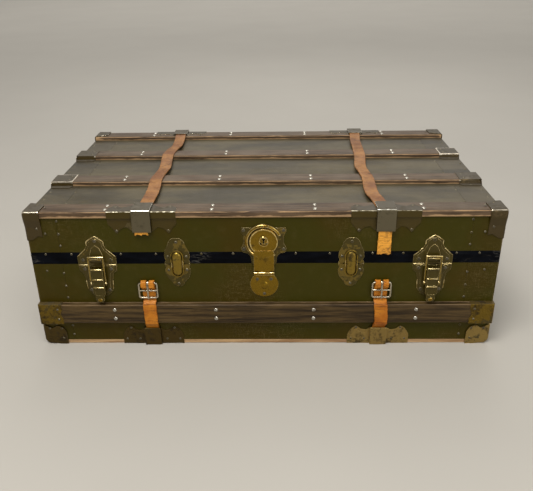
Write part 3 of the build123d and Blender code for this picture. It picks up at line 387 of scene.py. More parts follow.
    @staticmethod
    def lathe(profile: Sequence[Pair], centre: Pair, face: Face, start: float = 0.0, angle: float = 360.0,
            steps: int = 48) -> Thing:
        """Spin a profile round an axis that points out of a face.

        Args:
            profile: distances from the axis and depths, closed unless it starts and ends on the axis.
            centre: where the axis stands on the drawing.
            face: the side it is drawn on.
            start: where the spin starts, in degrees from the drawing's first axis.
            angle: how far it is spun.
            steps: how many steps it takes.
        Returns:
            The turned thing.
        """
        across, up, out = (Vector(axis) for axis in face.value)
        turn = math.radians(start)
        spoke = across * math.cos(turn) + up * math.sin(turn)
        axis_at = face.place(centre, 0.0)
        places = [axis_at + (spoke * r + out * depth) * MM for r, depth in profile]
        thing = Bench.draw(places)
        with Bench.edit(thing, "VERT"):
            Bench.everything()
            if angle < 360.0:
                bpy.ops.mesh.edge_face_add()
            axis = -out if across.cross(up) @ out > 0 else out
            bpy.ops.mesh.spin(steps=steps, angle=math.radians(angle), center=axis_at, axis=-axis)
        Bench.outward(thing)
        return thing

    @staticmethod
    def modify(thing: Thing, kind: str, **settings: object) -> None:
        """Add a modifier and apply it.

        Args:
            thing: the piece in hand.
            kind: the modifier's type.
            **settings: its properties.
        """
        Bench.pick_up(thing)
        modifier = thing.modifiers.new(kind.title(), kind)
        for key, value in settings.items():
            setattr(modifier, key, value)
        bpy.ops.object.modifier_apply(modifier=modifier.name)

    @staticmethod
    def combine(thing: Thing, how: Blend, *tools: Thing) -> Thing:
        """Combine solids into the first one.

        Args:
            thing: the piece in hand.
            how: add, cut or keep what is common.
            *tools: the other solids, which are used up.
        Returns:
            The first thing.
        """
        for tool in tools:
            Bench.modify(thing, "BOOLEAN", operation=how.value, object=tool, solver="EXACT")
            bpy.data.objects.remove(tool, do_unlink=True)
        return thing

    @staticmethod
    def soften(thing: Thing, radius: float, degrees: float = 40.0, segments: int = 2) -> Thing:
        """Round every edge of a finished solid that is sharper than so many degrees."""
        Bench.modify(thing, "BEVEL", width=radius * MM, segments=segments, limit_method="ANGLE",
            angle_limit=math.radians(degrees), use_clamp_overlap=True)
        return thing

    @staticmethod
    def lattice(thing: Thing, step: float = 4.0) -> Thing:
        """Cut a thing's broad faces into a lattice, so that wear stays close to its edges.

        Args:
            thing: the piece in hand.
            step: distance between the cuts, in mm.
        Returns:
            The same thing.
        """
        spans = [[v.co[i] / MM for v in thing.data.vertices] for i in range(3)]
        with Bench.edit(thing):
            for i, span in enumerate(spans):
                low, high = min(span), max(span)
                count = int((high - low) / step)
                for k in range(1, count):
                    at, way = [0.0, 0.0, 0.0], [0, 0, 0]
                    at[i], way[i] = (low + (high - low) * (k + 0.07) / count) * MM, 1
                    Bench.everything()
                    bpy.ops.mesh.bisect(plane_co=at, plane_no=way)
        return thing

    @staticmethod
    def copy(thing: Thing, flip: Triple = (1, 1, 1)) -> Thing:
        """Copy a thing with its own mesh, mirrored or as it is.

        Args:
            thing: what is copied.
            flip: 1 or -1 for each axis, about the trunk's middle planes.
        Returns:
            The copy.
        """
        Bench.pick_up(thing)
        bpy.ops.object.duplicate(linked=False)
        twin = bpy.context.object
        twin.scale = flip
        Bench.settle(twin)
        if flip[0] * flip[1] * flip[2] < 0:
            Bench.outward(twin)
        return twin

    @staticmethod
    def join(things: Sequence[Thing]) -> Thing:
        """Make one object of several.

        Args:
            things: the pieces to join.
        Returns:
            The joined thing.
        """
        Bench.pick_up(*things)
        if len(things) > 1:
            bpy.ops.object.join()
        return bpy.context.object

    @staticmethod
    def pair(thing: Thing, flip: Triple = (-1, 1, 1)) -> Thing:
        """Copy a thing to the trunk's other side and join the two."""
        return Bench.join([thing, Bench.copy(thing, flip)])

    @staticmethod
    def four(thing: Thing) -> Thing:
        """Copy a thing to the trunk's four corners and join the four."""
        return Bench.join([thing] + [Bench.copy(thing, flip) for flip in ((-1, 1, 1), (1, -1, 1),
            (-1, -1, 1))])

    @staticmethod
    def spread(head: Thing, places: Sequence[Vector]) -> Thing:
        """Copy a head that stands at the origin to each place, inside one mesh.

        Args:
            head: the head, all of it one small shell.
            places: where the copies go, in metres.
        Returns:
            The same thing, now with every copy.
        """
        with Bench.edit(head):
            Bench.everything()
            at = Vector((0, 0, 0))
            for i, place in enumerate(places):
                if i:
                    bpy.ops.mesh.duplicate()
                bpy.ops.transform.translate(value=place - at)
                at = place
        return head


class Fastener(Enum):
    """The kinds of head: radius, height, rings, whether it is slotted, and whether it is nickelled."""

    SLAT_NAIL = (4.1, 2.0, 5, False, True)
    TACK = (2.5, 1.1, 4, False, False)
    PLATE_NAIL = (3.0, 1.2, 4, False, False)
    SCREW = (3.4, 1.0, 4, True, False)

    def head(self, face: Face, back: bool = False) -> Thing:
        """Model one head at the origin.

        Args:
            face: the side that it sits on.
            back: whether it sits on the opposite side instead.
        Returns:
            The head.
        """
        radius, height, rings, slotted, nickelled = self.value
        bpy.ops.mesh.primitive_uv_sphere_add(segments=12, ring_count=2 * rings, radius=radius * MM)
        thing = bpy.context.object
        thing.scale = (1, 1, height / radius)
        Bench.settle(thing)
        with Bench.edit(thing):
            Bench.everything()
            bpy.ops.mesh.bisect(plane_co=(0, 0, 0), plane_no=(0, 0, 1), use_fill=True, clear_inner=True)
            if slotted:
                Bench.choose(thing, "faces", lambda middle, normal: normal.z > 0.97)
                bpy.ops.mesh.inset(thickness=0.2 * MM)
                Bench.choose(thing, "faces", lambda middle, normal: normal.z > 0.97 and
                    abs(middle.x - middle.y) < 0.75)
                bpy.ops.transform.translate(value=(0, 0, -0.5 * MM))
        tilt = -math.pi / 2 if back else math.pi / 2
        thing.rotation_euler = {FRONT: (tilt, 0, 0), TOP: (0, 0, 0), END: (0, tilt, 0)}[face]
        return dressed(Bench.settle(thing), Paint.NICKEL if nickelled else Paint.IRON)

    def on(self, face: Face, depth: float, places: Sequence[Pair], back: bool = False) -> Thing:
        """Drive heads into one side of the trunk, or into the opposite side, as one thing."""
        sign = -1 if back else 1
        return Bench.spread(self.head(face, back), [face.place(p, sign * depth) for p in places])

    def both(self, face: Face, depth: float, places: Sequence[Pair]) -> Thing:
        """Drive heads into one side of the trunk and into the opposite side."""
        return Bench.join([self.on(face, depth, places, back) for back in (False, True)])


# ---- materials
def operator(operation: str, flipped: bool = False) -> Callable[["Signal", "Signal | float"], "Signal"]:
    """Make the method behind one of Python's operators.

    Args:
        operation: the Math node's operation.
        flipped: whether the other value comes first.
    Returns:
        The method.
    """
    def method(self: "Signal", other: "Signal | float") -> "Signal":
        """Add the operator's Math node."""
        return self.shade.node("Math", {"operation": operation}, {int(flipped): self,
            int(not flipped): other})
    return method


class Signal:
    """A value that varies over a surface; Python's operators add the Math nodes."""

    def __init__(self, shade: "Shade", socket: bpy.types.NodeSocket | None) -> None:
        """Wrap an output socket of a shade's tree."""
        self.shade, self.socket = shade, socket

    def math(self, operation: str, *others: "Signal | float") -> "Signal":
        """Add a Math node with this value first."""
        values = dict(enumerate((self, *others)))
        return self.shade.node("Math", {"operation": operation}, values)

    __add__, __radd__ = operator("ADD"), operator("ADD", flipped=True)
    __sub__, __rsub__ = operator("SUBTRACT"), operator("SUBTRACT", flipped=True)
    __mul__, __rmul__ = operator("MULTIPLY"), operator("MULTIPLY", flipped=True)

    def top(self, other: "Signal | float") -> "Signal":
        """Take the larger of two values."""
        return self.math("MAXIMUM", other)

    def step(self, low: float, high: float) -> "Signal":
        """Rise smoothly from 0 to 1 between two values."""
        return self.shade.node("MapRange", {"interpolation_type": "SMOOTHSTEP"}, {0: self, 1: low, 2: high,
            3: 0.0, 4: 1.0})

    def near(self, value: float, reach: float) -> "Signal":
        """Be 1 at a value and fall smoothly to 0 at a distance from it."""
        return 1.0 - (self - value).math("ABSOLUTE").step(reach * 0.4, reach)


class Shade:
    """One material and the nodes in it."""

    def __init__(self, name: str) -> None:
        """Start an empty material."""
        self.material = bpy.data.materials.new(name)
        self.material.use_nodes = True
        self.tree = self.material.node_tree
        self.tree.nodes.clear()
        self.coords = self.node("TexCoord", {}, {}, "Object")

    def node(self, kind: str, settings: Mapping[str, object], sockets: Mapping[str | int, object],
            output: str | int = 0) -> Signal:
        """Add any node.

        Args:
            kind: the node's type, without its ShaderNode prefix.
            settings: its properties, set first.
            sockets: values or signals for its inputs, by name or number.
            output: the output wanted, by name or number.
        Returns:
            That output, if the node has any.
        """
        made = self.tree.nodes.new("ShaderNode" + kind)
        for key, value in settings.items():
            setattr(made, key, value)
        for key, value in sockets.items():
            socket = made.inputs[key]
            if isinstance(value, Signal):
                self.tree.links.new(value.socket, socket)
            elif socket.type == "RGBA":
                socket.default_value = (*value, 1.0)
            else:
                socket.default_value = value
        return Signal(self, made.outputs[output] if made.outputs else None)

    def placed(self, scale: Triple = (1, 1, 1), shift: Triple = (0, 0, 0)) -> Signal:
        """Give object coordinates, stretched and moved."""
        return self.node("Mapping", {}, {"Vector": self.coords, "Scale": scale, "Location": shift})

    def axis(self, name: str) -> Signal:
        """Give one object coordinate, in metres."""
        return self.node("SeparateXYZ", {}, {0: self.coords}, name)

    def noise(self, scale: float, detail: float = 4.0, at: Signal | None = None, rough: float = 0.55,
            warp: float = 0.0) -> Signal:
        """Give cloudy noise about 0.5, at the object's own coordinates or at others."""
        return self.node("TexNoise", {}, {"Vector": at or self.coords, "Scale": scale, "Detail": detail,
            "Roughness": rough, "Distortion": warp})

    def cells(self, scale: float, at: Signal | None = None) -> Signal:
        """Give the distance to the nearest of scattered points."""
        return self.node("TexVoronoi", {}, {"Vector": at or self.coords, "Scale": scale})

    def mix(self, amount: Signal | float, first: "Signal | Colour", second: "Signal | Colour") -> Signal:
        """Mix so much of the second colour into the first."""
        return self.node("Mix", {"data_type": "RGBA"}, {0: amount, 6: first, 7: second}, 2)

    def wear(self) -> Signal:
        """Give the wear that was marked on a piece's edges."""
        return self.node("Attribute", {"attribute_name": "wear"}, {}, "Fac")

    def facing_up(self) -> Signal:
        """Say where the piece's own upward faces are, from 0 to 1."""
        way = self.node("TexCoord", {}, {}, "Normal")
        return self.node("SeparateXYZ", {}, {"Vector": way}, "Z").step(0.75, 0.95)

    def surface(self, colour: Signal, rough: Signal | float, metal: Signal | float = 0.0,
            height: Signal | None = None, depth: float = 0.0003, coat: Signal | float = 0.0,
            **fixed: float) -> Material:
        """Finish the material.

        Args:
            colour: its base colour.
            rough: its roughness.
            metal: how metallic it is.
            height: relief, from 0 to 1.
            depth: how deep the relief is, in metres.
            coat: weight of a clear coat.
            **fixed: numbers for the shader's own sockets, with _ for a space.
        Returns:
            The material.
        """
        sockets = {"Base Color": colour, "Roughness": rough, "Metallic": metal, "Coat Weight": coat}
        if height is not None:
            sockets["Normal"] = self.node("Bump", {}, {"Height": height, "Distance": depth, "Strength": 1.0})
        sockets.update({key.replace("_", " "): value for key, value in fixed.items()})
        self.node("OutputMaterial", {}, {"Surface": self.node("BsdfPrincipled", {}, sockets)})
        return self.material


@dataclass(frozen=True)
class PaintedSkin:
    """Old gloss paint over canvas or fibre, dulled on the top, where a grey dusting and a painted sheen
    lighten it.
    """

    name: str
    tone: Colour = (0.043, 0.0285, 0.0008)
    # the top's colour: a grey dusting plus a painted sheen over the olive paint
    top_dust_and_sheen: Colour = (0.098, 0.080, 0.044)
    scuff: Colour = (0.13, 0.095, 0.035)
    weave: float = 0.00006
    edge_wear: float = 0.5

    def make(self) -> Material:
        """Build the material."""
        s = Shade(self.name)
        x, y, z = (s.axis(n) for n in "XYZ")
        clouds = s.noise(5.0, 5.0)
        fine = s.noise(60.0, 5.0)
        base = s.mix(clouds.step(0.38, 0.62), self.tone, (self.tone[0] * 0.86, self.tone[1] * 1.12,
            self.tone[2] * 1.5))
        base = s.mix(fine.step(0.5, 0.8) * 0.10, base, self.scuff)
        # on the top the paint turns to a grey dusting with a painted sheen, lighter and greyer than the front
        top = z.step(0.2872, 0.2878)
        dirt = s.noise(9.0, 6.0, s.placed((0.6, 1.6, 1)), 0.6, 0.3)
        dust_and_sheen = s.mix(dirt.step(0.35, 0.68), tuple(c * 0.42 for c in self.top_dust_and_sheen), self.top_dust_and_sheen)
        base = s.mix(top, base, dust_and_sheen)
        lines = s.noise(34.0, 3.0, s.placed((1, 9, 9), (3, 1, 2)), 0.5, 0.4).near(0.52, 0.011)
        more = s.noise(30.0, 3.0, s.placed((9, 2, 1.2), (1, 7, 3)), 0.5, 0.6).near(0.5, 0.010)
        rare = s.noise(3.0, 2.0, s.placed(shift=(8, 4, 1))).step(0.52, 0.62)
        marks = lines.top(more) * rare * 0.55
        corner = x.math("ABSOLUTE").step(0.4535, 0.4572) * y.math("ABSOLUTE").step(0.2765, 0.2802)
        rubbed = corner * s.noise(40.0, 4.0, s.placed((1, 1, 0.5))).step(0.4, 0.6) * self.edge_wear
        chips = s.cells(70.0).step(0.12, 0.05) * s.noise(2.5, 2.0, s.placed(shift=(2, 9, 4))).step(0.58, 0.66)
        base = s.mix(marks.top(rubbed).top(chips * 0.4), base, self.scuff)
        woven = s.node("TexWave", {"bands_direction": "X"}, {"Vector": s.coords, "Scale": 260.0})
        weft = s.node("TexWave", {"bands_direction": "Z"}, {"Vector": s.coords, "Scale": 260.0})
        swell = s.noise(16.0, 3.0) * 3.0 + fine * 0.8 + (woven + weft) * 0.25 - marks * 0.7
        rough = 0.26 + fine * 0.14 + dirt * 0.14 * top + marks * 0.2
        return s.surface(base, rough, height=swell, depth=self.weave * 4, Specular_IOR_Level=0.12)


@dataclass(frozen=True)
class WornWood:
    """Varnished slat wood: dark grain, dirt, and edges rubbed back to pale wood."""

    name: str
    dark: Colour = (0.040, 0.022, 0.010)
    light: Colour = (0.120, 0.076, 0.042)
    bare: Colour = (0.40, 0.255, 0.13)
    wear: float = 1.0
    top_dust_and_sheen: float = 0.6

    def make(self) -> Material:
        """Build the material."""
        s = Shade(self.name)
        squeeze = (1, 16, 16)
        grain = s.noise(9.0, 7.0, s.placed(squeeze), 0.62, 0.5)
        pores = s.noise(26.0, 5.0, s.placed(tuple(1.0 if v == 1 else v * 1.6 for v in squeeze)), 0.6)
        patches = s.noise(6.0, 4.0, s.placed(shift=(5, 2, 0)))
        base = s.mix(grain.step(0.32, 0.68), self.dark, self.light)
        base = s.mix(pores.step(0.55, 0.72) * 0.65, base, tuple(c * 0.45 for c in self.dark))
        base = s.mix(patches.step(0.5, 0.75) * 0.5, base, tuple(c * 0.6 for c in self.dark))
        # slat tops turn greyer: a dusting plus a painted sheen
        z_up = s.axis("Z").step(0.2968, 0.2974) * self.top_dust_and_sheen
        base = s.mix(z_up * s.noise(14.0, 5.0).step(0.3, 0.75) * 0.55, base, (0.20, 0.158, 0.112))
        rub = (s.wear() * 0.9 + (s.noise(30.0, 5.0, s.placed(tuple(v ** 0.5 for v in squeeze))) - 0.5) * 1.4)
        rub = rub.step(0.42, 0.8) * self.wear
        base = s.mix(rub, base, s.mix(grain.step(0.3, 0.7), tuple(c * 0.7 for c in self.bare), self.bare))
        relief = grain * 0.6 + pores * -0.6 + s.noise(80.0, 3.0) * 0.2
        rough = 0.42 + pores * 0.22 + rub * 0.12
        return s.surface(base, rough, height=relief, depth=0.0006, coat=0.02, Specular_IOR_Level=0.22)


@dataclass(frozen=True)
class OldMetal:
    """Plated or painted sheet metal, tarnished in the hollows and bright where it is rubbed; kept to the
    upper bends, that bright colour is also a painted highlight, and upward faces take a grey dusting with a
    painted sheen.
    """

    name: str
    metal: Colour = (0.31, 0.215, 0.045)
    tarnish: Colour = (0.055, 0.036, 0.009)
    paint: Colour = (0.048, 0.034, 0.002)
    painted: float = 0.4
    tarnished: float = 0.5
    bright: Colour = (0.86, 0.70, 0.36)
    rub: float = 1.0
    stipple: float = 0.0
    rough: float = 0.34
    wear_and_highlight_from: float = -1.0
    dust_and_sheen: float = 0.0
    left_dark: float = 0.0

    def make(self) -> Material:
        """Build the material."""
        s = Shade(self.name)
        clouds = s.noise(38.0, 6.0, rough=0.62)
        spots = s.noise(120.0, 5.0, rough=0.6)
        patch = s.noise(24.0, 5.0, s.placed(shift=(4, 1, 7)), 0.6, 0.5)
        dark = (clouds + (spots - 0.5) * 0.5).step(0.72 - self.tarnished * 0.45, 0.92 - self.tarnished * 0.45)
        base = s.mix(dark, self.metal, self.tarnish)
        cover = (patch + (spots - 0.5) * 0.35).step(0.86 - self.painted * 0.62, 0.93 - self.painted * 0.62)
        rub = (s.wear() + (spots - 0.5) * 0.9).step(0.45, 0.85) * self.rub
        # on pieces given a height, the bright rubbed colour shows only above it: there it is wear and a
        # painted highlight along the upper bend
        rub = rub * s.axis("Z").step(self.wear_and_highlight_from, self.wear_and_highlight_from + 0.002)
        cover = cover * (1.0 - rub)
        base = s.mix(cover, base, self.paint)
        base = s.mix(rub, base, self.bright)
        if self.left_dark:
            left = s.axis("X").step(0.01, -0.01) * self.left_dark
            base = s.mix(left, base, tuple(c * 0.35 for c in self.tarnish))
        # upward faces take a grey dusting and a painted sheen, which also dull the metal
        dusting_and_sheen = s.facing_up() * patch.step(0.1, 0.5) * (1.0 - rub) * self.dust_and_sheen
        base = s.mix(dusting_and_sheen, base, (0.072, 0.060, 0.042))
        metal = (1.0 - cover * 0.85) * (1.0 - dark * 0.35) * (1.0 - dusting_and_sheen)
        rough = self.rough + dark * 0.2 + (spots - 0.5) * 0.2 - rub * 0.14 + dusting_and_sheen * 0.3
        relief = clouds * 0.5 + spots * 0.35 + cover * 0.4
        if self.stipple:
            relief = relief + s.cells(300.0).step(0.1, 0.75) * self.stipple
        return s.surface(base, rough, metal, relief, 0.00035, Specular_IOR_Level=0.3)


@dataclass(frozen=True)
class Leather:
    """Vegetable-tanned strap leather, oiled, stained and cracked across its bends."""

    name: str
    tan: Colour = (0.33, 0.145, 0.034)
    deep: Colour = (0.19, 0.068, 0.014)
    stain: Colour = (0.055, 0.020, 0.008)
    stains: float = 0.75
    tail: Colour = (0.80, 0.36, 0.045)

    def make(self) -> Material:
        """Build the material."""
        s = Shade(self.name)
        clouds = s.noise(22.0, 5.0, rough=0.6)
        base = s.mix(clouds.step(0.35, 0.68), self.tan, self.deep)
        hidden = (0.0 - s.axis("Y")).step(0.2838, 0.2846) * s.axis("Z").step(0.20, 0.204)
        base = s.mix(hidden * (1.0 - clouds.step(0.5, 0.8) * 0.6), base, self.tail)
        blots = s.noise(55.0, 6.0, s.placed(shift=(3, 3, 1)), 0.65, 0.4)
        where = s.noise(9.0, 3.0, s.placed(shift=(7, 0, 2)))
        base = s.mix(blots.step(0.50, 0.64) * where.step(0.42, 0.62) * self.stains, base, self.stain)
        creases = s.noise(26.0, 3.0, s.placed((0.7, 7, 7)), 0.5, 0.5).near(0.5, 0.018)
        base = s.mix(creases * 0.45, base, self.stain)
        rim = s.wear().step(0.25, 0.8)
        base = s.mix(rim * 0.55, base, tuple(c * 0.5 for c in self.deep))
        pores = s.cells(900.0)
        relief = pores * 0.25 - creases * 0.8 + clouds * 0.5
        rough = 0.42 + blots * 0.25
        return s.surface(base, rough, height=relief, depth=0.0004, coat=0.03, Specular_IOR_Level=0.25)


@dataclass(frozen=True)
class BlackBand:
    """The near-black valance cloth, a little polished, with pale scuffs and lint."""

    name: str = "black_band"

    def make(self) -> Material:
        """Build the material."""
        s = Shade(self.name)
        cloudy = s.noise(18.0, 5.0, s.placed((1, 1, 3)))
        base = s.mix(cloudy.step(0.35, 0.75), (0.0010, 0.0012, 0.0020), (0.0035, 0.0045, 0.0075))
        specks = s.cells(120.0, s.placed((1, 1, 1.6))).step(0.10, 0.04)
        some = s.noise(7.0, 2.0, s.placed(shift=(1, 5, 2))).step(0.55, 0.66)
        smear = s.noise(30.0, 4.0, s.placed((0.5, 0.5, 2.5), (9, 2, 2)), 0.6, 0.6).near(0.5, 0.02) * some
        base = s.mix((specks * some * 0.6).top(smear * 0.16), base, (0.33, 0.31, 0.27))
        woven = s.node("TexWave", {"bands_direction": "DIAGONAL"}, {"Vector": s.coords, "Scale": 420.0})
        return s.surface(base, 0.34 + cloudy * 0.2, height=woven * 0.3 + cloudy, depth=0.00025,
            Specular_IOR_Level=0.04)


@dataclass(frozen=True)
class PlainWood:
    """Bare boards of the carcass and the bottom slats."""

    name: str
    pale: Colour = (0.52, 0.34, 0.17)
    dark: Colour = (0.26, 0.14, 0.06)

    def make(self) -> Material:
        """Build the material."""
        s = Shade(self.name)
        grain = s.noise(7.0, 6.0, s.placed((1, 12, 12)), 0.6, 0.8)
        base = s.mix(grain.step(0.3, 0.7), self.dark, self.pale)
        grime = s.noise(11.0, 5.0, s.placed(shift=(2, 2, 2)))
        base = s.mix(grime.step(0.5, 0.8) * 0.6, base, (0.08, 0.055, 0.03))
        return s.surface(base, 0.6 + grain * 0.15, height=grain, depth=0.0004)


@dataclass(frozen=True)
class LiningPaper:
    """Printed lining paper: narrow stripes on a foxed, buff ground."""

    name: str
    ground: Colour = (0.50, 0.41, 0.27)
    stripe: Colour = (0.30, 0.24, 0.14)
    across: str = "X"

    def make(self) -> Material:
        """Build the material."""
        s = Shade(self.name)
        bands = s.node("TexWave", {"bands_direction": self.across}, {"Vector": s.coords, "Scale": 14.0})
        thin = s.node("TexWave", {"bands_direction": self.across}, {"Vector": s.coords, "Scale": 56.0})
        foxing = s.noise(13.0, 6.0, rough=0.62)
        base = s.mix(bands.step(0.72, 0.86) * 0.75, self.ground, self.stripe)
        base = s.mix(thin.step(0.86, 0.95) * 0.3, base, self.stripe)
        base = s.mix(foxing.step(0.48, 0.75) * 0.6, base, (0.24, 0.15, 0.07))
        return s.surface(base, 0.72 + foxing * 0.12, height=foxing + s.noise(240.0, 3.0) * 0.3, depth=0.00025)


@dataclass(frozen=True)
class StudioFloor:
    """A plain pale floor."""

    name: str = "studio_floor"

    def make(self) -> Material:
        """Build the material."""
        s = Shade(self.name)
        tint = s.mix(s.noise(1.5, 3.0), (0.44, 0.42, 0.385), (0.49, 0.47, 0.43))
        return s.surface(tint, 0.75 + s.noise(30.0, 2.0) * 0.1, Specular_IOR_Level=0.2)


class Paint(Enum):
    """Every finish on the trunk, each made a material once."""

    CANVAS = PaintedSkin("painted_canvas")
    BINDING = PaintedSkin("fibre_binding", tone=(0.041, 0.0275, 0.0010), top_dust_and_sheen=(0.088, 0.072, 0.043),
        weave=0.00003, edge_wear=0.9)
    BAND = BlackBand()
    SLAT = WornWood("slat_wood")
    WAIST = WornWood("waist_slat_wood", dark=(0.020, 0.011, 0.0030), light=(0.098, 0.060, 0.020),
        bare=(0.22, 0.15, 0.085), wear=0.8)
    BOARD = PlainWood("carcass_board")
    LINING = LiningPaper("lining_paper")
    TRAY = LiningPaper("tray_paper", ground=(0.44, 0.35, 0.22), across="Y")
    BRASS = OldMetal("aged_brass", metal=(0.26, 0.175, 0.032), painted=0.42, dust_and_sheen=0.4)
    LOCK_BRASS = OldMetal("lock_brass", metal=(0.235, 0.142, 0.016), tarnish=(0.06, 0.036, 0.005),
        tarnished=0.45, painted=0.14, bright=(0.86, 0.68, 0.30), rub=0.8, rough=0.27)
    DARK_BRASS = OldMetal("painted_brass", metal=(0.15, 0.10, 0.018), tarnish=(0.05, 0.032, 0.006),
        painted=0.95, bright=(0.74, 0.58, 0.26), rub=0.85)
    WORN_PAINT = OldMetal("half_painted_brass", metal=(0.19, 0.135, 0.035), tarnish=(0.055, 0.038, 0.01),
        painted=0.68, bright=(0.66, 0.54, 0.28), rub=0.8)
    STIPPLED = OldMetal("stippled_brass", metal=(0.17, 0.11, 0.018), tarnish=(0.040, 0.025, 0.006),
        paint=(0.052, 0.035, 0.004), painted=0.5, tarnished=0.62, stipple=1.2, bright=(0.42, 0.31, 0.12),
        rub=0.45, rough=0.42, dust_and_sheen=0.5)
    FOOT_METAL = OldMetal("foot_metal", metal=(0.31, 0.215, 0.070), tarnish=(0.065, 0.042, 0.014),
        paint=(0.060, 0.042, 0.010), painted=0.38, tarnished=0.52, stipple=0.5, bright=(0.46, 0.36, 0.17),
        rub=0.4, rough=0.42, left_dark=0.78)
    # olive and bare steel of the strap loops: the near-white colour on the upper bend is a painted highlight
    # as well as wear
    OLIVE_STEEL = OldMetal("olive_steel", metal=(0.12, 0.095, 0.045), tarnish=(0.055, 0.040, 0.014),
        paint=(0.047, 0.031, 0.0022), painted=0.92, bright=(0.92, 0.86, 0.66), wear_and_highlight_from=0.2945, dust_and_sheen=1.0)
    BARE_STEEL = OldMetal("worn_steel", metal=(0.15, 0.13, 0.085), tarnish=(0.085, 0.068, 0.038),
        paint=(0.075, 0.058, 0.024), painted=0.3, bright=(0.92, 0.89, 0.80), tarnished=0.45, wear_and_highlight_from=0.297,
        dust_and_sheen=0.85)
    # bronzed corners and clamps: the pale colour above the set height is a painted highlight on the upper
    # bend as well as wear
    BRONZE = OldMetal("bronzed_corner", metal=(0.11, 0.080, 0.042), tarnish=(0.045, 0.030, 0.012),
        paint=(0.046, 0.030, 0.007), painted=0.85, bright=(0.84, 0.76, 0.62), rub=0.85, wear_and_highlight_from=0.2945,
        dust_and_sheen=1.0)
    NICKEL = OldMetal("nail_nickel", metal=(0.46, 0.44, 0.38), tarnish=(0.12, 0.10, 0.07), painted=0.05,
        tarnished=0.40, bright=(0.72, 0.69, 0.60), rub=0.5, rough=0.24)
    BUCKLE = OldMetal("buckle_nickel", metal=(0.44, 0.39, 0.29), tarnish=(0.10, 0.075, 0.04), painted=0.0,
        tarnished=0.42, bright=(0.70, 0.65, 0.52), rub=0.6, rough=0.26)
    # near-black sheets in the keyhole: painted shade inside the hole
    HOLLOW = OldMetal("keyhole_painted_shade", metal=(0.01, 0.008, 0.005), tarnish=(0.004, 0.003, 0.002), painted=0.0,
        rub=0.0, rough=0.7)
    IRON = OldMetal("dull_tacks", metal=(0.13, 0.115, 0.08), tarnish=(0.05, 0.042, 0.025), painted=0.55,
        bright=(0.34, 0.30, 0.22), rub=0.4, rough=0.40)
    STRAP = Leather("strap_leather")
    FRESH_STRAP = Leather("fresh_strap_leather", tan=(0.56, 0.205, 0.015), deep=(0.36, 0.10, 0.005),
        stains=0.35)
    HANDLE = Leather("handle_leather", tan=(0.20, 0.085, 0.03), deep=(0.09, 0.035, 0.015), stains=0.7)

    @cached_property
    def material(self) -> Material:
        """The finish as a material."""
        return self.value.make()


# ---- sub-assemblies
@dataclass
class Assembly:
    """A group of pieces that are finished and fastened in the same way."""

    @staticmethod
    def mark_wear(thing: Thing) -> None:
        """Write how sharply the mesh turns at each vertex, which the finishes read as wear, and on some
        metals' upper bends as a painted highlight too.
        """
        mesh = bmesh.new()
        mesh.from_mesh(thing.data)
        values = []
        for vertex in mesh.verts:
            turn = math.degrees(max((e.calc_face_angle_signed(0.0) for e in vertex.link_edges), default=0.0))
            tilt = math.degrees(math.acos(min(1.0, max(abs(part) for part in vertex.normal))))
            worn = max((turn - 24.0) / 20.0, (tilt - 18.0) / 20.0 if turn > 12.0 else 0.0)
            values.append(min(1.0, max(0.0, worn)))
        mesh.free()
        layer = thing.data.attributes.get("wear") or thing.data.attributes.new("wear", "FLOAT", "POINT")
        layer.data.foreach_set("value", values)

    def finish(self, thing: Thing, name: str, body: str, paint: Paint, slot: str, stands_for: str = "",
            smooth: float = 38.0) -> Thing:
        """Dress a piece and fasten it to its body.

        Args:
            thing: the finished mesh.
            name: the piece's name.
            body: the body that it rides on.
            paint: its finish, unless its parts have theirs already.
            slot: the record's material slot; not used.
            stands_for: the frame's node that it stands for, if any.
            smooth: edges flatter than this many degrees are shaded smooth.
        Returns:
            The piece.
        """
        Bench.settle(thing, name)
        thing.data.name = name
        if not thing.data.materials:
            dressed(thing, paint)
        bpy.ops.object.shade_smooth_by_angle(angle=math.radians(smooth))
        self.mark_wear(thing)
        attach(thing, body)
        if stands_for:
            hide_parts(stands_for)
        LOG.info("piece %s on %s: %d faces", name, body, len(thing.data.polygons))
        return thing


def dressed(thing: Thing, paint: Paint) -> Thing:
    """Give a thing one finish, in place of any that it has.

    Args:
        thing: a piece, or a part of one before it is joined.
        paint: its finish.
    Returns:
        The same thing.
    """
    thing.data.materials.clear()
    thing.data.materials.append(paint.material)
    return thing


@dataclass
class Carcass(Assembly):
    """The boards, coverings, bindings, band and linings, which keep the frame's own shapes."""

    frame: dict

    def dress(self) -> None:
        """Give each kept node its finish."""
        finishes = {"board": Paint.BOARD, "canvas": Paint.CANVAS, "edge_bindings": Paint.BINDING,
            "valance": Paint.BAND, "lining": Paint.LINING, "rim_lip": Paint.BOARD, "runners": Paint.BOARD,
            "bottom_slats": Paint.BOARD, "hinge_case_leaves": Paint.DARK_BRASS,
            "hinge_lid_leaves": Paint.DARK_BRASS, "hinge_pins": Paint.DARK_BRASS, "tray_walls": Paint.TRAY,
            "tray_bottom": Paint.TRAY, "tray_divider": Paint.TRAY,}
        for name, node in self.frame["nodes"].items():
            for key, paint in finishes.items():
                if key in name:
                    dressed(node, paint)


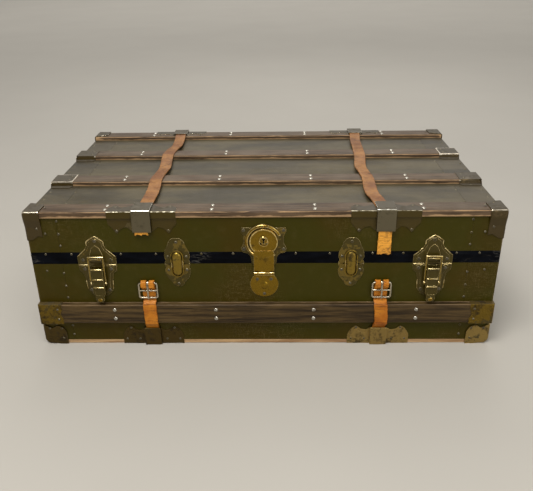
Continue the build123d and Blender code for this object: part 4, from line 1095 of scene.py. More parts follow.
@dataclass
class Slats(Assembly):
    """The hardwood slats: four on the lid and a belt round the case."""

    round_off: float = 3.2
    belt_round: float = 2.6
    lip: float = 3.0
    lengths: int = 46
    uneven: float = 6.0
    dent: float = 0.5

    def edge_slat(self) -> Thing:
        """Model the front slat, whose lip hangs over the lid's edge."""
        inner = -SLAT_FACE + SLAT_W
        section = [(-SLAT_FACE, PANEL_Z - self.lip), (-OUT_Y, PANEL_Z - self.lip), (-OUT_Y, PANEL_Z),
            (inner, PANEL_Z), (inner, SLAT_Z), (-SLAT_FACE, SLAT_Z)]
        slat = Bench.bar(section, END, -OUT_X, 2 * OUT_X)
        Bench.round_edges(slat, self.round_off, 4, lambda m, way: abs(way.x) > ALONG and m.z > SLAT_Z - 0.1)
        self.roughen(slat, -SLAT_FACE)
        return slat

    def roughen(self, slat: Thing, face: float) -> None:
        """Cut a slat into short lengths and dent its outer corner a little.

        Args:
            slat: the slat.
            face: where its front face lies.
        """
        draw = random.Random(int(abs(face) * 10))
        with Bench.edit(slat, "EDGE"):
            for i in range(1, self.lengths):
                Bench.everything()
                at = -OUT_X + i * 2 * OUT_X / self.lengths + draw.uniform(-self.uneven, self.uneven)
                bpy.ops.mesh.bisect(plane_co=(at * MM, 0, 0), plane_no=(1, 0, 0))
            mesh = bmesh.from_edit_mesh(slat.data)
            for vertex in mesh.verts:
                spot = vertex.co / MM
                if abs(spot.x) < OUT_X - 1 and SLAT_Z - 3.4 < spot.z < SLAT_Z - 0.2:
                    vertex.co.z -= draw.uniform(0.0, self.dent) * MM
            bmesh.update_edit_mesh(slat.data)

    def middle_slat(self, middle: float) -> Thing:
        """Model one flat slat of the lid."""
        limits = (middle - SLAT_W / 2, middle + SLAT_W / 2)
        slat = Bench.block((-OUT_X, OUT_X), limits, (PANEL_Z, SLAT_Z), self.round_off, 4,
            lambda m, way: abs(way.x) > ALONG and m.z > SLAT_Z - 0.1)
        self.roughen(slat, limits[0])
        return slat

    def build(self) -> None:
        """Build and finish all the slats."""
        self.finish(Bench.pair(self.edge_slat(), (1, -1, 1)), "lid_edge_slats", "lid", Paint.SLAT, "slat",
            "lid_slats_edge")
        pair = Bench.join([self.middle_slat(-MIDDLE_Y), self.middle_slat(MIDDLE_Y)])
        self.finish(pair, "lid_middle_slats", "lid", Paint.SLAT, "slat", "lid_slats_middle")
        height = (WAIST_LOW, WAIST_HIGH)
        for name, limits, node in (("belt_slat_front", (-WAIST_FACE, -OUT_Y), "case_slat_front"),
                ("belt_slat_back", (OUT_Y, WAIST_FACE), "case_slat_back")):
            outer = limits[0] if limits[0] < 0 else limits[1]
            slat = Bench.block((-OUT_X, OUT_X), limits, height, self.belt_round, 4,
                lambda m, way, outer=outer: abs(way.x) > ALONG and abs(m.y - outer) < 0.1)
            Bench.lattice(slat, 12.0)
            self.finish(slat, name, "case", Paint.WAIST, "slat", node)


@dataclass
class Nailing(Assembly):
    """The domed nails in the slats, and the tacks in the coverings."""

    pair_gap: float = 10.0
    belt_z: float = 77.5
    edge_y: float = 260.5
    column_x: float = 396.0

    def build(self) -> None:
        """Build the nails and tacks of both halves."""
        rows = [(x, y + dy) for x in NAIL_COLUMNS for y in (-self.edge_y, -MIDDLE_Y, MIDDLE_Y, self.edge_y)
            for dy in (-self.pair_gap, self.pair_gap)]
        heads = Fastener.SLAT_NAIL.on(TOP, SLAT_Z, rows)
        self.finish(heads, "lid_nails", "lid", Paint.NICKEL, "nickel", "lid_slat_nails", 60)
        rows = [(x, self.belt_z + dz) for x in NAIL_COLUMNS for dz in (-self.pair_gap, self.pair_gap)]
        heads = Fastener.SLAT_NAIL.both(FRONT, WAIST_FACE, rows)
        self.finish(heads, "belt_nails", "case", Paint.NICKEL, "nickel", "case_slat_nails", 60)
        self.tacks()

    def tacks(self) -> None:
        """Tack down the bindings, the band and the coverings."""
        lid_columns = [(side * self.column_x, z) for side in SIDES for z in (278, 251, 226)]
        band = [(x, BAND_Z) for x in (-428, -377, -280, -211, -122, -60, 62, 128, 211, 270, 373, 417)]
        end_band = [(y, BAND_Z) for y in (-240, -160, -80, 0, 80, 160, 240)]
        end_rows = [(y, 272.0) for y in (-225, -140, -35, 35, 140, 225)]
        top = [(side * self.column_x, y) for side in SIDES for y in (-214, -150, -42, 0, 42, 150, 214)]
        top += [(side * 449.0, y) for side in SIDES for y in (-190, -150, -20, 20, 150, 190)]
        groups = [Fastener.TACK.both(FRONT, OUT_Y, lid_columns + band), Fastener.TACK.both(END, OUT_X,
            end_band + end_rows), Fastener.TACK.on(TOP, PANEL_Z, top)]
        self.finish(Bench.join(groups), "lid_tacks", "lid", Paint.IRON, "nickel", smooth=60)
        columns = [(side * (self.column_x + 2), z) for side in SIDES for z in (166, 137, 110, 44, 22)]
        columns += [(side * 431.0, z) for side in SIDES for z in (47, 171)]
        end_rows = [(y, z) for y in (-235, -150, 150, 235) for z in (118, 172)] + [(y, 30) for y in (-160, 0,
            160)]
        groups = [Fastener.TACK.both(FRONT, OUT_Y, columns), Fastener.TACK.both(END, OUT_X, end_rows)]
        self.finish(Bench.join(groups), "case_tacks", "case", Paint.IRON, "nickel", smooth=60)


@dataclass
class Clamps(Assembly):
    """Sheet-metal clamps on the ends of the lid's middle slats and at the belt's corners."""

    length: float = 45.0
    foot: float = 13.0
    drop: float = 24.0
    leg: float = 47.0
    turn: float = 30.0

    def slat_end(self) -> Thing:
        """Model the clamp at the right-hand end of the front middle slat."""
        middle, half = -MIDDLE_Y, SLAT_W / 2
        low, high = PANEL_Z, SLAT_Z
        hat = [(-half - SHEET - self.foot, low), (-half - SHEET - self.foot, low + SHEET),
            (-half - SHEET, low + SHEET), (-half - SHEET + 1.2, high + SHEET), (half + SHEET - 1.2,
            high + SHEET), (half + SHEET, low + SHEET), (half + SHEET + self.foot, low + SHEET),
            (half + SHEET + self.foot, low), (half, low), (half, high), (-half, high), (-half, low)]
        hat = [(y + middle, z) for y, z in hat]
        clamp = Bench.bar(hat, END, OUT_X - self.length, self.length + SHEET)
        Bench.round_edges(clamp, 8.5, 4, lambda m, way: abs(way.z) > ALONG and m.z < low + 1.3 and
            abs(m.y - middle) > half + SHEET + 5)
        shield = [(-half - SHEET, high + SHEET), (half + SHEET, high + SHEET), (half + 7, low - 3),
            (half - 2, low - 12), (half - 8, low - self.drop), (-half + 8, low - self.drop),
            (-half + 2, low - 12), (-half - 7, low - 3)]
        flap = Bench.plate([(y + middle, z) for y, z in shield], END, OUT_X, SHEET, 3.0, 0.0)
        Bench.combine(clamp, Blend.ADD, flap)
        Bench.soften(clamp, 0.45)
        return clamp

    def belt_corner(self) -> Thing:
        """Model the clamp that wraps the belt's front right end."""
        outer = OUT_X + SHEET
        plan = [(OUT_X - self.leg, -OUT_Y), (OUT_X - self.leg, -WAIST_FACE - SHEET),
            (outer, -WAIST_FACE - SHEET), (outer, -OUT_Y + self.turn), (OUT_X, -OUT_Y + self.turn),
            (OUT_X, -OUT_Y)]
        clamp = Bench.bar(plan, TOP, WAIST_LOW - SHEET, WAIST_HIGH - WAIST_LOW + 2 * SHEET)
        Bench.round_edges(clamp, 2.6, 3, lambda m, way: abs(way.z) > ALONG and m.x > OUT_X and m.y <
            -WAIST_FACE)
        wood = Bench.block((0, OUT_X), (-WAIST_FACE, 0), (WAIST_LOW, WAIST_HIGH))
        box = Bench.block((0, OUT_X), (-OUT_Y, 0), (0, SEAM_Z))
        bite = Bench.disc((OUT_X - self.leg - 2, (WAIST_LOW + WAIST_HIGH) / 2), (5.5, 10.0), FRONT, OUT_Y - 2,
            20.0, 0.0, 24)
        Bench.combine(clamp, Blend.CUT, wood, box, bite)
        Bench.soften(clamp, 0.45)
        return clamp

    def build(self) -> None:
        """Build both kinds of clamp with their nails."""
        clamp = dressed(Bench.lattice(self.slat_end(), 6.0), Paint.BRONZE)
        x = OUT_X - self.length / 2
        nails = Fastener.TACK.on(TOP, PANEL_Z + SHEET, [(x, -MIDDLE_Y - 30), (x, -MIDDLE_Y + 30)])
        top = Fastener.TACK.on(TOP, SLAT_Z + SHEET, [(OUT_X - 34, -MIDDLE_Y - 11),
            (OUT_X - 34, -MIDDLE_Y + 11)])
        flap = Fastener.TACK.on(END, OUT_X + SHEET, [(-MIDDLE_Y, PANEL_Z - 14)])
        clamp = Bench.join([nails, top, flap, clamp])
        self.finish(Bench.four(clamp), "slat_end_clamps", "lid", Paint.BRONZE, "bronzed_steel",
            "lid_slat_clamps")
        corner = dressed(Bench.lattice(self.belt_corner()), Paint.STIPPLED)
        nails = Fastener.TACK.on(FRONT, WAIST_FACE + SHEET, [(OUT_X - 38, 66), (OUT_X - 38, 89)])
        corner = Bench.join([nails, corner])
        self.finish(Bench.four(corner), "belt_corner_clamps", "case", Paint.STIPPLED, "brass",
            "case_slat_clamps")


@dataclass
class Corners(Assembly):
    """The pressed corner caps of the lid and of the case's foot."""

    proud: float = 2.6
    flat_lobes: Outline = ((0, 0), (33, 0), (33, 12), (47, 20), (49, 29), (41, 37), (28, 38), (16, 44),
        (0, 48))
    drop_lobes: Outline = ((0, 0), (33, 0), (33, 18), (46, 38), (47, 48), (37, 55), (25, 52), (13, 60),
        (0, 63))
    foot_lobes: Outline = ((0, -20), (52, -20), (52, 27), (45, 40), (34, 45), (22, 38), (8, 46), (0, 46))

    def top_corner(self) -> Thing:
        """Model the front right corner of the lid."""
        far_x, face_y, top_z = OUT_X + self.proud, -SLAT_FACE - self.proud, SLAT_Z + self.proud
        side = [(face_y, top_z), (face_y, 283), (-OUT_Y - 1.8, 266), (-OUT_Y - 1.8, 230), (face_y + 52, 230),
            (face_y + 52, top_z)]
        cap = Bench.bar(side, END, far_x - 55, 55)
        Bench.round_edges(cap, 5.0, 4, lambda m, way: (abs(m.x - far_x) < 0.1 and (m.z > top_z - 0.1 or m.y <
            -OUT_Y)) or (m.z > top_z - 0.1 and m.y < face_y + 0.1))
        for lobes, face, sign, corner in ((self.flat_lobes, TOP, 1, face_y), (self.drop_lobes, FRONT, -1,
                top_z)):
            outline = [(far_x + 3 - a - 3 * (a > 0), corner + sign * (-3 + b + 3 * (b > 0)))
                for a, b in lobes]
            cutter = Bench.plate(outline, face, 0, 400, 2.0, 0.0)
            Bench.combine(cap, Blend.COMMON, cutter)
        Bench.combine(cap, Blend.CUT, Bench.block((0, OUT_X), (-OUT_Y, 0), (0, PANEL_Z)),
            Bench.block((0, OUT_X), (-SLAT_FACE, -SLAT_FACE + SLAT_W), (PANEL_Z - 3, SLAT_Z)))
        return Bench.soften(cap, 0.5)

    def foot_corner(self) -> Thing:
        """Model the front right corner of the case's foot."""
        cap = Bench.block((OUT_X - 45, OUT_X + 3), (-OUT_Y - 3, -OUT_Y + 45), (0, 46))
        Bench.round_edges(cap, 13.0, 6, lambda m, way: abs(way.y) > ALONG and m.x > OUT_X and m.z < 1)
        Bench.round_edges(cap, 5.0, 3, lambda m, way: m.x > OUT_X - 16 and m.y < -OUT_Y and abs(way.z) > 0.05)
        for face, corner, sign in ((FRONT, OUT_X + 6, -1), (END, -OUT_Y - 6, 1)):
            outline = [(corner + sign * a, b) for a, b in self.foot_lobes]
            Bench.combine(cap, Blend.COMMON, Bench.plate(outline, face, 0, 600, 2.5, 0.0))
        Bench.combine(cap, Blend.CUT, Bench.block((0, OUT_X), (-OUT_Y, 0), (9, SEAM_Z)), Bench.block((0, 440),
            (-OUT_Y, -OUT_Y + 45), (1, 9)))
        return Bench.soften(cap, 0.5)

    def build(self) -> None:
        """Build all eight corners with their nails."""
        cap = dressed(Bench.lattice(self.top_corner()), Paint.BRONZE)
        nails = [Fastener.TACK.on(FRONT, OUT_Y + 1.8, [(436, 263), (421, 253)]), Fastener.TACK.on(TOP,
            SLAT_Z + self.proud, [(421, -262), (440, -250)]), Fastener.TACK.on(END, OUT_X + self.proud,
            [(-270, 262), (-250, 280)])]
        cap = Bench.join([*nails, cap])
        self.finish(Bench.four(cap), "lid_corner_caps", "lid", Paint.BRONZE, "bronzed_steel", "top_corners")
        cap = dressed(Bench.lattice(self.foot_corner()), Paint.FOOT_METAL)
        nails = [Fastener.TACK.on(FRONT, OUT_Y + 3, [(421, 38), (420, 14), (446, 38)]), Fastener.TACK.on(END,
            OUT_X + 3, [(-244, 36), (-244, 14), (-272, 38)])]
        cap = Bench.join([*nails, cap])
        self.finish(Bench.four(cap), "foot_corner_caps", "case", Paint.FOOT_METAL, "brass", "bottom_corners")


@dataclass
class StrapLoops(Assembly):
    """The plates with raised bridges that hold the straps at the lid's and the foot's edges."""

    bridge: float = 36.0
    strap_room: float = 4.0
    wing_front: Outline = ((0, 320), (66, 320), (66, 272), (58, 264), (50, 251), (42, 262), (30, 266),
        (20, 257), (0, 257))
    wing_top: Outline = ((0, -320), (66, -320), (66, -264), (54, -252), (41, -262), (28, -257), (18, -248),
        (0, -248))
    bat_wing: Outline = ((0, 38), (18, 38), (24, 33), (36, 35), (45, 43), (55, 36), (63, 22), (63, -9))
    pad: Outline = ((21, 5), (58, 5), (58, 21), (52, 31), (45, 36), (37, 28), (27, 26), (21, 28))

    def lid_loop(self) -> Thing:
        """Model the loop on the lid's front edge, right of the middle."""
        low = PANEL_Z - 3.0
        section = [(-245, SLAT_Z), (-245, SLAT_Z + SHEET), (-SLAT_FACE - SHEET, SLAT_Z + SHEET),
            (-SLAT_FACE - SHEET, low - SHEET), (-OUT_Y - SHEET, low - SHEET), (-OUT_Y - SHEET, 245),
            (-OUT_Y, 245), (-OUT_Y, low), (-SLAT_FACE, low), (-SLAT_FACE, SLAT_Z)]
        wings = Bench.bar(section, END, STRAP_X - 70, 140)
        Bench.round_edges(wings, 2.0, 3, lambda m, way: abs(way.x) > ALONG and m.z > SLAT_Z + 1 and m.y <
            -SLAT_FACE)
        for outline, face in ((self.wing_front, FRONT), (self.wing_top, TOP)):
            cutter = Bench.plate(mirrored(outline, STRAP_X), face, 0, 400, 3.0, 0.0)
            Bench.combine(wings, Blend.COMMON, cutter)
        Bench.soften(wings, 0.4)
        out = self.strap_room + PLATE
        path = [(-247, SLAT_Z), (-247, SLAT_Z + out), (-SLAT_FACE - out, SLAT_Z + out), (-SLAT_FACE - out,
            257), (-OUT_Y, 257), (-OUT_Y, low), (-SLAT_FACE, low), (-SLAT_FACE, SLAT_Z)]
        bridge = Bench.bar(path, END, STRAP_X - self.bridge / 2, self.bridge)
        Bench.round_edges(bridge, 3.5, 4, lambda m, way: abs(way.x) > ALONG and m.z > SLAT_Z + 4 and m.y <
            -SLAT_FACE - 4)
        out = self.strap_room
        path = [(-230, SLAT_Z), (-230, SLAT_Z + out), (-SLAT_FACE - out + 2, SLAT_Z + out), (-SLAT_FACE - out,
            SLAT_Z + out - 2), (-SLAT_FACE - out, 240), (-OUT_Y, 240), (-OUT_Y, low), (-SLAT_FACE, low),
            (-SLAT_FACE, SLAT_Z)]
        channel = Bench.bar(path, END, STRAP_X - 15.5, 31)
        Bench.combine(bridge, Blend.CUT, channel)
        Bench.soften(bridge, 0.5)
        return Bench.join([dressed(Bench.lattice(bridge), Paint.BARE_STEEL), dressed(Bench.lattice(wings),
            Paint.OLIVE_STEEL)])

    def foot_loop(self) -> Thing:
        """Model the loop on the foot's front edge, right of the middle."""
        section = [(-OUT_Y, 46), (-OUT_Y, 1), (-OUT_Y + 34, 1), (-OUT_Y + 34, 0), (-OUT_Y - SHEET, 0),
            (-OUT_Y - SHEET, 46)]
        wings = Bench.bar(section, END, STRAP_X - 65, 130)
        cutter = Bench.plate(mirrored(self.bat_wing, STRAP_X), FRONT, 0, 400, 3.0, 0.0)
        Bench.combine(wings, Blend.COMMON, cutter)
        Bench.soften(wings, 0.4)
        pads = [Bench.plate(shifted([(s * x, z) for x, z in self.pad], STRAP_X), FRONT, OUT_Y + 0.6, 1.3, 2.5,
            0.6) for s in SIDES]
        wings = Bench.join(pads + [wings])
        half = self.bridge / 2 - 1
        bridge = Bench.block((STRAP_X - half, STRAP_X + half), (-OUT_Y - 7, -OUT_Y), (0, 41), 1.6, 3,
            lambda m, way: m.y < -OUT_Y - 6.9 or (abs(way.y) > ALONG and m.z > 40))
        Bench.combine(bridge, Blend.CUT, Bench.block((STRAP_X - 14.8, STRAP_X + 14.8),
            (-OUT_Y - 5.5, -OUT_Y + 8), (5.5, 60)))
        Bench.soften(bridge, 0.35)
        metal = Paint.FOOT_METAL
        return Bench.join([dressed(Bench.lattice(bridge), metal), dressed(Bench.lattice(wings), metal)])

    def build(self) -> None:
        """Build all eight loops with their screws."""
        points = [(STRAP_X + dx, z) for dx, z in ((-50, 257.5), (50, 257.5))]
        heads = Fastener.PLATE_NAIL.on(FRONT, OUT_Y + SHEET, points)
        top = Fastener.TACK.on(TOP, SLAT_Z + SHEET, [(STRAP_X + dx, -258.5) for dx in (-53, 53)])
        loop = Bench.join([heads, top, self.lid_loop()])
        self.finish(Bench.four(loop), "lid_strap_keepers", "lid", Paint.OLIVE_STEEL, "bronzed_steel",
            "lid_strap_loops")
        points = [(STRAP_X + dx, z) for dx, z in ((-45, 38.5), (45, 38.5), (-55, 12), (55, 12), (-28, 12),
            (28, 12))]
        heads = Fastener.TACK.on(FRONT, OUT_Y + SHEET + 0.3, points)
        loop = Bench.join([heads, self.foot_loop()])
        self.finish(Bench.four(loop), "foot_strap_keepers", "case", Paint.FOOT_METAL, "brass",
            "bottom_strap_loops")


@dataclass
class StrapRoute:
    """One flat strap: its route seen from the end of the trunk, and how it wanders sideways."""

    points: list[Pair]
    wander: list[Pair]
    width: float = 26.0
    thickness: float = 3.0
    bend: float = 4.0
    roll: list[Pair] = field(default_factory=list)
    spacing: float = 4.0
    columns: int = 10
    frayed: float = 0.5
    ripple: float = 0.35
    ripple_every: float = 9.0
    rim: float = 0.7

    def stations(self) -> list[tuple[Vector, Vector]]:
        """Walk along the route with rounded bends.

        Returns:
            Middles and directions at even steps, in the plane of the route.
        """
        corners = [Vector(p) for p in self.points]
        rounded = [corners[0]]
        for before, at, after in zip(corners, corners[1:], corners[2:]):
            into, away = (at - before), (after - at)
            reach = min(self.bend, into.length * 0.45, away.length * 0.45)
            start, end = at - into.normalized() * reach, at + away.normalized() * reach
            rounded += [(1 - t) ** 2 * start + 2 * t * (1 - t) * at + t * t * end for t in (0, 0.25, 0.5,
                0.75, 1)]
        rounded.append(corners[-1])
        walk = []
        for start, end in zip(rounded, rounded[1:]):
            pieces = max(1, round((end - start).length / self.spacing))
            walk += [start.lerp(end, i / pieces) for i in range(pieces)]
        walk.append(rounded[-1])
        count = len(walk) - 1
        return [(p, (walk[min(i + 1, count)] - walk[max(i - 1, 0)]).normalized()) for i, p in enumerate(walk)]

    @staticmethod
    def read(table: Sequence[Pair], at: float) -> float:
        """Read a smooth curve through a table's points.

        Args:
            table: positions and values, in rising order of position.
            at: the position wanted.
        Returns:
            The value there.
        """
        if not table:
            return 0.0
        if at <= table[0][0]:
            return table[0][1]
        for (low, first), (high, second) in zip(table, table[1:]):
            if at <= high:
                t = (at - low) / (high - low)
                return first + (second - first) * (t * t * (3 - 2 * t))
        return table[-1][1]

    def build(self, ragged: float = 0.0, slot_to: float = 0.0) -> Thing:
        """Model the strap.

        Args:
            ragged: how uneven the last end is, in mm.
            slot_to: length of the slot that the first end has for a prong.
        Returns:
            The strap.
        """
        walk = self.stations()
        columns = self.columns
        bpy.ops.mesh.primitive_grid_add(x_subdivisions=columns, y_subdivisions=len(walk) - 1, size=2)
        thing = Bench.settle(bpy.context.object)
        draw = random.Random(len(walk))
        travel, along = 0.0, []
        for i, (spot, _) in enumerate(walk):
            travel += (spot - walk[i - 1][0]).length if i else 0.0
            along.append(travel)
        edge = [draw.uniform(-1.0, 1.0) for _ in walk]
        tear = [draw.uniform(-1, 0.4) * ragged for _ in range(columns + 1)]
        for vertex in thing.data.vertices:
            u = vertex.co.x
            i = min(len(walk) - 1, round((vertex.co.y + 1) / 2 * (len(walk) - 1)))
            spot, way = walk[i]
            side = Vector((-way.y, way.x))
            lean = math.radians(self.read(self.roll, spot.x if abs(way.x) > 0.5 else -999))
            half = self.width / 2 + edge[i] * self.frayed
            lift = u * half * math.sin(lean) + self.ripple * math.sin(along[i] / self.ripple_every) * u * u
            flat = spot + side * lift
            if ragged and i > len(walk) - 3:
                flat = flat + way * tear[round((u + 1) / 2 * columns)]
            shift = self.read(self.wander, along[i])
            vertex.co = Vector((shift + u * half * math.cos(lean), flat.x, flat.y)) * MM
        if slot_to:
            middle = self.read(self.wander, 0.0)
            with Bench.edit(thing):
                mesh = bmesh.from_edit_mesh(thing.data)
                mesh.faces.ensure_lookup_table()
                rows = sum(1 for run in along if run <= slot_to)
                for f in mesh.faces:
                    f.select_set(abs(f.calc_center_median().x / MM - middle) < self.width / columns and
                        f.index // columns < rows)
                bmesh.update_edit_mesh(thing.data)
                bpy.ops.mesh.delete(type="FACE")
        Bench.modify(thing, "SOLIDIFY", thickness=self.thickness * MM, offset=0.0, use_even_offset=True)
        Bench.outward(thing)
        Bench.modify(thing, "BEVEL", width=self.rim * MM, segments=2, limit_method="ANGLE",
            angle_limit=math.radians(50), use_clamp_overlap=True)
        return thing


@dataclass
class Straps(Assembly):
    """The two leather straps, each in an upper length on the lid and a lower one on the case."""

    thickness: float = 3.0
    fold_z: float = 146.0
    sag: float = 2.6

    def over_lid(self) -> list[Pair]:
        """Give the upper route from the joint line at the back, over the top, to the front edge."""
        half = self.thickness / 2
        skin, over, high = OUT_Y + half, SLAT_FACE + half + 0.2, SLAT_Z + half
        gaps = [(y, high - self.sag) for y in (196, 155)] + [(y, high) for y in (113, 69)]
        gaps += [(y, high - self.sag) for y in (24, -24)] + [(y, high) for y in (-69, -113)]
        gaps += [(y, high - self.sag) for y in (-155, -196)]
        return [(skin, SEAM_Z + 0.4), (skin, 232), (over, 256), (over, high), (238, high), *gaps,
            (-238, high), (-over, high)]

    def build(self) -> None:
        """Build all four lengths."""
        over = SLAT_FACE + self.thickness / 2 + 0.2
        wander = {-1: [(0, -232), (118, -231), (228, -227), (323, -236), (422, -229), (498, -233),
            (568, -229), (640, -228), (700, -234)], 1: [(0, 232), (118, 231), (228, 225), (323, 222),
            (420, 214), (498, 219), (570, 217), (640, 224), (700, 231.5)]}
        rolls = {-1: [(-230, 0), (-160, 5), (-60, -6), (30, 7), (150, -5), (230, 0)],
            1: [(-230, 0), (-170, -7), (-60, 6), (40, -8), (150, 6), (230, 0)]}
        for name, side, end in (("left", -1, 250.0), ("right", 1, 207.0)):
            route = StrapRoute(self.over_lid() + [(-over, end)], wander[side], roll=rolls[side])
            self.finish(route.build(ragged=2.6), f"strap_upper_{name}", "lid", Paint.STRAP, "strap_leather",
                f"upper_strap_{name}", 60)
            self.lower(name, side)

    def lower(self, name: str, side: int) -> None:
        """Build one lower length, folded over the buckle's bar at its front end.

        Args:
            name: left or right.
            side: -1 for the left and 1 for the right.
        """
        half = self.thickness / 2
        skin, slat, under = OUT_Y + half, WAIST_FACE + half, 9 - 0.1 - half
        outer = OUT_Y + 12 - half
        bar = OUT_Y + 6
        reach = outer - bar
        arc = [(-bar - reach * math.cos(math.radians(a)), self.fold_z + reach * math.sin(math.radians(a)))
            for a in range(0, 181, 30)]
        front = [(-outer, 138), *arc, (-skin, 108), (-slat, 99.5), (-slat, 55.5), (-skin - 0.6, 42),
            (-skin - 0.6, under)]
        back = [(skin + 0.6, under), (skin + 0.6, 42), (slat, 55.5), (slat, 99.5), (skin, 108),
            (skin, SEAM_Z - 0.3)]
        x = side * STRAP_X
        strap = StrapRoute(front + back, [(0, x), (60, x - side), (110, x + 2), (140, x)], bend=3.0,
            spacing=2.6)
        self.finish(strap.build(slot_to=26.0), f"strap_lower_{name}", "case", Paint.FRESH_STRAP,
            "strap_leather", f"lower_strap_{name}", 60)


@dataclass
class Buckles(Assembly):
    """The two roller buckles that the straps close with."""

    pivot: Pair = (-286.0, 146.0)
    width: float = 40.0
    height: float = 37.0
    wire: float = 2.0

    def frame_at(self, x: float) -> Thing:
        """Model a buckle's frame.

        Args:
            x: where its middle is.
        Returns:
            The frame with both cross bars.
        """
        half = self.width / 2
        top = self.pivot[1] + self.wire
        low = top - self.height
        outline = [(x - half, top), (x + half, top), (x + half, low), (x - half, low)]
        ring = Bench.plate(outline, FRONT, -self.pivot[0] - self.wire, 2 * self.wire, 6.0, 0.0)
        hole = [(x - half + 3.8, top - 3.8), (x + half - 3.8, top - 3.8), (x + half - 3.8, low + 3.8),
            (x - half + 3.8, low + 3.8)]
        Bench.combine(ring, Blend.CUT, Bench.plate(hole, FRONT, 270, 30, 3.0, 0.0))
        Bench.soften(ring, 1.4, 60, 3)
        middle = (low + self.pivot[1]) / 2 + 0.5
        bar = Bench.rod((x - half + 2, self.pivot[0], middle), (x + half - 2, self.pivot[0], middle), 1.7)
        return Bench.join([ring, bar])

    def prong_at(self, x: float) -> Thing:
        """Model a buckle's prong, hung on the top bar.

        Args:
            x: where it stands.
        Returns:
            The prong.
        """
        y, z = self.pivot
        low = z + 2.2 - self.height + 0.3
        tongue = [(x - 1.9, z), (x + 1.9, z), (x + 1.6, low + 4), (x + 0.9, low), (x - 0.9, low),
            (x - 1.6, low + 4)]
        stem = Bench.plate(tongue, FRONT, -y + 2.6, 2.6, 0.5, 0.9)
        eye = Bench.rod((x - 2.5, y, z), (x + 2.5, y, z), 4.1, 20, 0.8)
        return Bench.join([eye, stem])

    def build(self) -> None:
        """Build both buckles."""
        for name, side in (("left", -1), ("right", 1)):
            x = side * STRAP_X
            self.finish(self.frame_at(x), f"buckle_ring_{name}", f"buckle_frame_{name}", Paint.BUCKLE,
                "nickel", f"buckle_frame_{name}")
            self.finish(self.prong_at(x), f"buckle_tongue_{name}", f"buckle_prong_{name}", Paint.BUCKLE,
                "nickel", f"buckle_prong_{name}")


